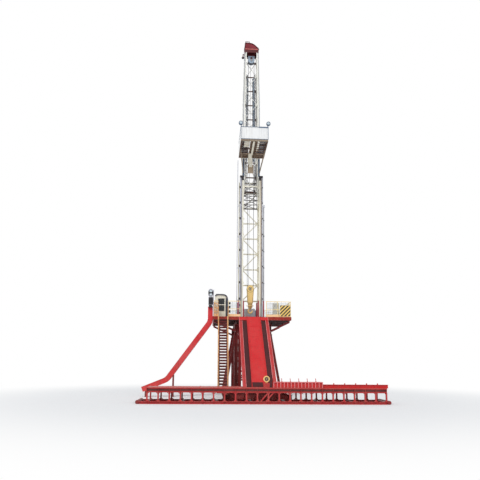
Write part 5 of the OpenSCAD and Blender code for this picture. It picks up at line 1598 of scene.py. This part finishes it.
def dressSubstructure():
    size = base
    plates, bolts, ribs = newMeshes(3)
    top, skid, pinZ = size["top"], size["skidHigh"], size["pinZ"]
    hinge = top - size["hinge"]
    legs = [(side, side * size["legX"], depth * size["legY"])
            for depth in (-1, 1) for side in (-1, 1)]
    for side, x, y in legs:
        for z0, z1, nut, way in ((top - size["flange"], top, top - size["flange"], -1),
                                 (skid, skid + size["flange"], skid + size["flange"], 1)):
            addBlock(plates, (x - 200, y - 190, z0), (x + 200, y + 190, z1))
            for dx in (-172, 172):
                for dy in (-150, -50, 50, 150):
                    addBolt(bolts, (x + dx, y + dy, nut), (0, 0, way), 15, 18)
        for z in size["braceZ"]:
            for face in (-1, 1):
                out = y + face * 71
                addBlock(plates, (x - side * 150, out - 6, z - 190),
                         (x - side * 430, out + 6, z + 190))
                for dx in (204, 285, 366):
                    for dz in (-120, 0, 120):
                        place = (x - side * dx, out + face * 6, z + dz)
                        addBolt(bolts, place, (0, face, 0), 15, 12)
        for bm, off, reach, z, radius, sides in ((plates, 95, 178, hinge, 74, 24),
                                                 (bolts, 95, 204, hinge, 38, 6),
                                                 (plates, 150, 170, pinZ, 66, 24)):
            pinX = x + side * off
            addRod(bm, (pinX, y - reach, z), (pinX, y + reach, z), radius, sides)
        for k in range(size["ribs"]):
            z = size["ribFirst"] + k * size["ribPitch"]
            for face in (y - 140, y + 140):
                addBlock(ribs, (x - 122, face - 8, z - 6), (x + 122, face + 8, z + 6))
    for side in (-1, 1):
        x = side * size["skidX"]
        for k in range(size["skidRibs"] + 1):
            y = size["front"] + 300 + k * (size["back"] - size["front"] - 600) / size["skidRibs"]
            for face in (-1, 1):
                addBlock(ribs, (x + face * 9, y - 7, 26), (x + face * 124, y + 7, skid - 26))
        for y in size["eyes"]:
            for face in (-1, 1):
                addRing(plates, (x + face * 122, y + 260, 250), "X", 60, 16, steps=20, sides=6)
    finishPiece("basePlates", plates, "brickPaint", chamfer=4)
    finishPiece("baseBolts", bolts, "bareSteel")
    finishPiece("baseRibs", ribs, "brickPaint")


# Inner posts beside the ramp's head, with their brackets
innerPost = {"inner": 960, "outer": 1230, "flanges": ((-3190, -3164), (-3026, -3000)),
             "rungs": 8, "rungFirst": 900, "rungPitch": 640}


def dressInnerPosts():
    size = innerPost
    posts = bmesh.new()
    top, foot = base["top"], base["skidHigh"]
    (y0, y1), (y2, y3) = size["flanges"]
    for side in (-1, 1):
        a, b = side * size["inner"], side * size["outer"]
        for near, far in ((y0, y1), (y2, y3)):
            addBlock(posts, (a, near, foot), (b, far, top))
        addBlock(posts, (a + side * 90, y1, foot), (b - side * 90, y2, top))
        for k in range(size["rungs"]):
            z = size["rungFirst"] + k * size["rungPitch"]
            addBlock(posts, (a, y1, z), (b, y2, z + 14))
            addBar(posts, (b, -3040, z), (b + side * 32, -3040, z + 320), 40, 40)
        addBar(posts, (b + side * 10, -3100, top - 60), (b + side * 250, -3240, top - 500), 60, 60)
    # The posts wear the darker red of painted shade
    finishPiece("innerPosts", posts, "deepRedPaint", chamfer=3)


# Racking board: cream tongue under the walkway, bearers, grating and the
# latches of the fingers
board = {"z": 22050, "half": 1195, "front": -4250, "deep": 150, "dive": 310, "fingers": 8,
         "fingerY": -4000, "fingerPitch": 287.5, "tongueWide": (340, 430, 300),
         "tongue": ((-200, -1700, 10), (-170, -1200, 330), (-110, -900, 700), (-90, -800, 960))}


def dressBoard():
    size = board
    tongue, grate, latch, under = newMeshes(4)
    half, front, dive, deckZ = size["half"], size["front"], size["dive"], size["z"]
    z = deckZ - size["deep"]
    knees = [(x, y, z - drop) for x, y, drop in size["tongue"]]
    for (ax, ay, az), (bx, by, bz), wide in zip(knees, knees[1:], size["tongueWide"]):
        addBar(tongue, (ax, ay, az), (bx, by, bz), wide, 46)
        for off in (12 - wide / 2, wide / 2 - 12):
            addBar(tongue, (ax + off, ay - 30, az), (bx + off, by - 30, bz), 24, 110)
    addBar(tongue, (-40, -4150, z - 40), (-40, -1400, z - 40), 170, 60)
    addBlock(tongue, (-860, -4140, z - 34), (-420, -3000, z - 14))
    addBlock(tongue, (360, -4140, z - 34), (470, -2700, z - 14))
    for side in (-1, 1):
        for inset in (30, 120):
            x = side * (half - inset)
            addBar(under, (x, front + 20, z - 20), (x, -700, z - 20), 30, 50)
    for y in range(-3900, -900, 420):
        addBar(under, (40 - half, y, z - 30), (half - 40, y, z - 30), 46, 40)
    for y in range(-4100, -700, 110):
        addBlock(grate, (8 - dive, y, deckZ), (dive - 8, y + 14, deckZ + 10))
    for x in range(-1120, 1130, 110):
        if abs(x) > dive + 20:
            addBlock(grate, (x, -1480, deckZ), (x + 12, -620, deckZ + 10))
    for side in (-1, 1):
        x = side * (dive + 120)
        for k in range(size["fingers"] + 1):
            y = size["fingerY"] + k * size["fingerPitch"]
            addBlock(latch, (side * (dive + 86), y - 32, deckZ - 8),
                     (side * (dive + 150), y + 32, deckZ + 40))
            addRod(latch, (x, y - 40, deckZ + 22), (x, y + 40, deckZ + 22), 12, 8)
    finishPiece("boardTongue", tongue, "creamPaint", chamfer=5)
    finishPiece("boardBearers", under, "umberPaint")
    finishPiece("boardGrating", grate, "greyPaint")
    finishPiece("fingerLatches", latch, "yellowPaint", chamfer=3)


# The wind wall's edging and ribs, the rails beside the mast, and the faces and
# cooling rings of the two lamps
windWall = {"high": 1150, "back": -899.7, "split": 380, "ribPitch": 560, "frontPitch": 290,
            "railX": 1150, "railY": (-900, -640), "railZ": (560, 1080), "lampUp": 365.3}


def dressWindWall():
    size = windWall
    edging, ribs, rims, lens = newMeshes(4)
    half, front, deckZ, split = board["half"], board["front"], board["z"], size["split"]
    rail = deckZ + size["high"]
    near, far = size["railY"]
    for side in (-1, 1):
        x = side * half
        addRod(edging, (x, front, rail), (x, size["back"], rail), 34, 8)
        addBar(edging, (x + side * 4, front - 14, deckZ + 20), (x + side * 4, front - 14, rail),
               70, 28)
        for k in range(6):
            y = front + 260 + k * size["ribPitch"]
            addBlock(ribs, (x, y - 20, deckZ + 10), (x + side * 22, y + 20, rail - 10))
        for k in range(1, 4):
            ribX = side * k * size["frontPitch"]
            addBlock(ribs, (ribX - 16, front - 16, deckZ + 30), (ribX + 16, front, rail - 40))
        # Lamp face: a dark ring round a pale lens
        x, z = side * (half + 20), rail + size["lampUp"]
        addRing(rims, (x, front - 2, z), "Y", 148, 30, steps=32, sides=8)
        addRod(lens, (x, front, z), (x, front - 16, z), 138, 28, 96)
        addRod(rims, (x, front + 160, z), (x, front + 196, z), 90, 16, 60)
        for k in range(5):
            addRing(rims, (x, front + 40 + k * 26, z), "Y", 172, 7, steps=28, sides=5)
        # Rails at the back of the board beside the mast
        x = side * size["railX"]
        for y in (near, far):
            addRod(edging, (x, y, deckZ), (x, y, deckZ + size["railZ"][-1]), 22, 8)
        for up in size["railZ"]:
            addRod(edging, (x, near, deckZ + up), (x, far, deckZ + up), 20, 8)
    for a, b, y, z, wide, deep in ((split, half + 20, 16, rail - 20, 34, 96),
                                   (-half - 20, split, 16, rail - 8, 30, 30),
                                   (-half, half, 12, deckZ + 24, 24, 40)):
        addBar(edging, (a, front - y, z), (b, front - y, z), wide, deep)
    finishPiece("windWallEdge", edging, "slatePaint")
    finishPiece("windWallRibs", ribs, "whiteSheet", chamfer=2)
    finishPiece("boardLampRims", rims, "slatePaint")
    finishPiece("boardLampLenses", lens, "lensGlass", smooth=True)


# Drawworks: guard rails, brake guards, bearings and the sheet over its front
works = {"y": 2650, "z": 7500, "wide": 700, "guardDeep": 440, "guardFoot": 6700, "guardTop": 7750,
         "guardBars": 9, "boltRing": 170, "band": 500, "sheetHalf": 640}


def dressDrawworks():
    size = works
    y, z, wide, deep, top = size["y"], size["z"], size["wide"], size["guardDeep"], size["guardTop"]
    guards, bands, bolts, sheet = newMeshes(4)
    for side in (-1, 1):
        edge, x = side * wide, side * (wide + 32)
        addRod(bands, (x, y, z), (x + side * 60, y, z), 130, 24, 112)
        addRod(bands, (x + side * 60, y, z), (x + side * 76, y, z), 60, 6)
        addBoltCircle(bolts, (x, y, z), (side, 0, 0), size["boltRing"], 8, 16, 12)
        addRing(guards, (side * (wide - 145), y, z), "X", size["band"], 24, start=20, swing=200,
                steps=28, sides=8)
        for k in range(4):
            near = y - deep + k * 290
            addBlock(guards, (edge - 36, near, 6610), (edge + 36, near + 16, 7740))
        for k in range(5):
            knob = y - 400 + k * 200
            addRod(guards, (edge, knob, top), (edge, knob, top + 40), 16, 8)
    for face in (y - deep, y + deep):
        addRod(guards, (-wide, face, top), (wide, face, top), 26, 8)
        for k in range(size["guardBars"]):
            x = -wide + 120 + k * (2 * wide - 240) / (size["guardBars"] - 1)
            addRod(guards, (x, face, size["guardFoot"]), (x, face, top), 12, 6)
    # Sheet guard over the front of the drum, with pressed ribs
    front, half = y - 470, size["sheetHalf"]
    addBlock(sheet, (-half, front, 6680), (half, front + 12, 7900))
    for k in range(8):
        x = 40 - half + k * 160
        addBlock(sheet, (x, front - 12, 6760), (x + 40, front, 7820))
    finishPiece("drawworksSheet", sheet, "paleGreyPaint", chamfer=2)
    finishPiece("drawworksGuards", guards, "blueGreyPaint")
    finishPiece("drawworksBearings", bands, "greyPaint")
    finishPiece("drawworksBolts", bolts, "bareSteel")


# Standpipe clamps and joints, and the cleats of the mast ladder
mastPipes = {"pipe": (1190, -400), "clamps": (9940, 12920, 15900), "joints": (7400, 11400, 14400),
             "ladderX": -1230, "ladderHalf": 190, "ladderFoot": 7000, "ladderTop": 21700,
             "cleatPitch": 900}


def dressPipesAndLadder():
    size = mastPipes
    clamps, cleats = newMeshes(2)
    x, y = size["pipe"]
    for z in size["clamps"]:
        addRod(clamps, (x, y, z - 45), (x, y, z + 45), 74, 20)
        for side in (-1, 1):
            addBlock(clamps, (x - 18, y + side * 66, z - 42), (x + 18, y + side * 112, z + 42))
            addBolt(clamps, (x + 18, y + side * 92, z), (1, 0, 0), 12, 10)
    for z in size["joints"]:
        addRod(clamps, (x, y, z - 60), (x, y, z + 60), 82, 8)
    x = size["ladderX"]
    for z in range(size["ladderFoot"], size["ladderTop"], size["cleatPitch"]):
        for y in (-size["ladderHalf"], size["ladderHalf"]):
            addRod(cleats, (x - 26, y, z), (x + 26, y, z), 10, 6)
    finishPiece("standpipeClamps", clamps, "greyPaint")
    finishPiece("ladderCleats", cleats, "greyPaint")


dressSlide()
dressPlatform()
dressRaisedDeck()
dressRampSheave()
dressInnerPosts()
dressSubstructure()
dressBoard()
dressWindWall()
dressDrawworks()
dressPipesAndLadder()
print("slide, platform, board and drawworks dressed")
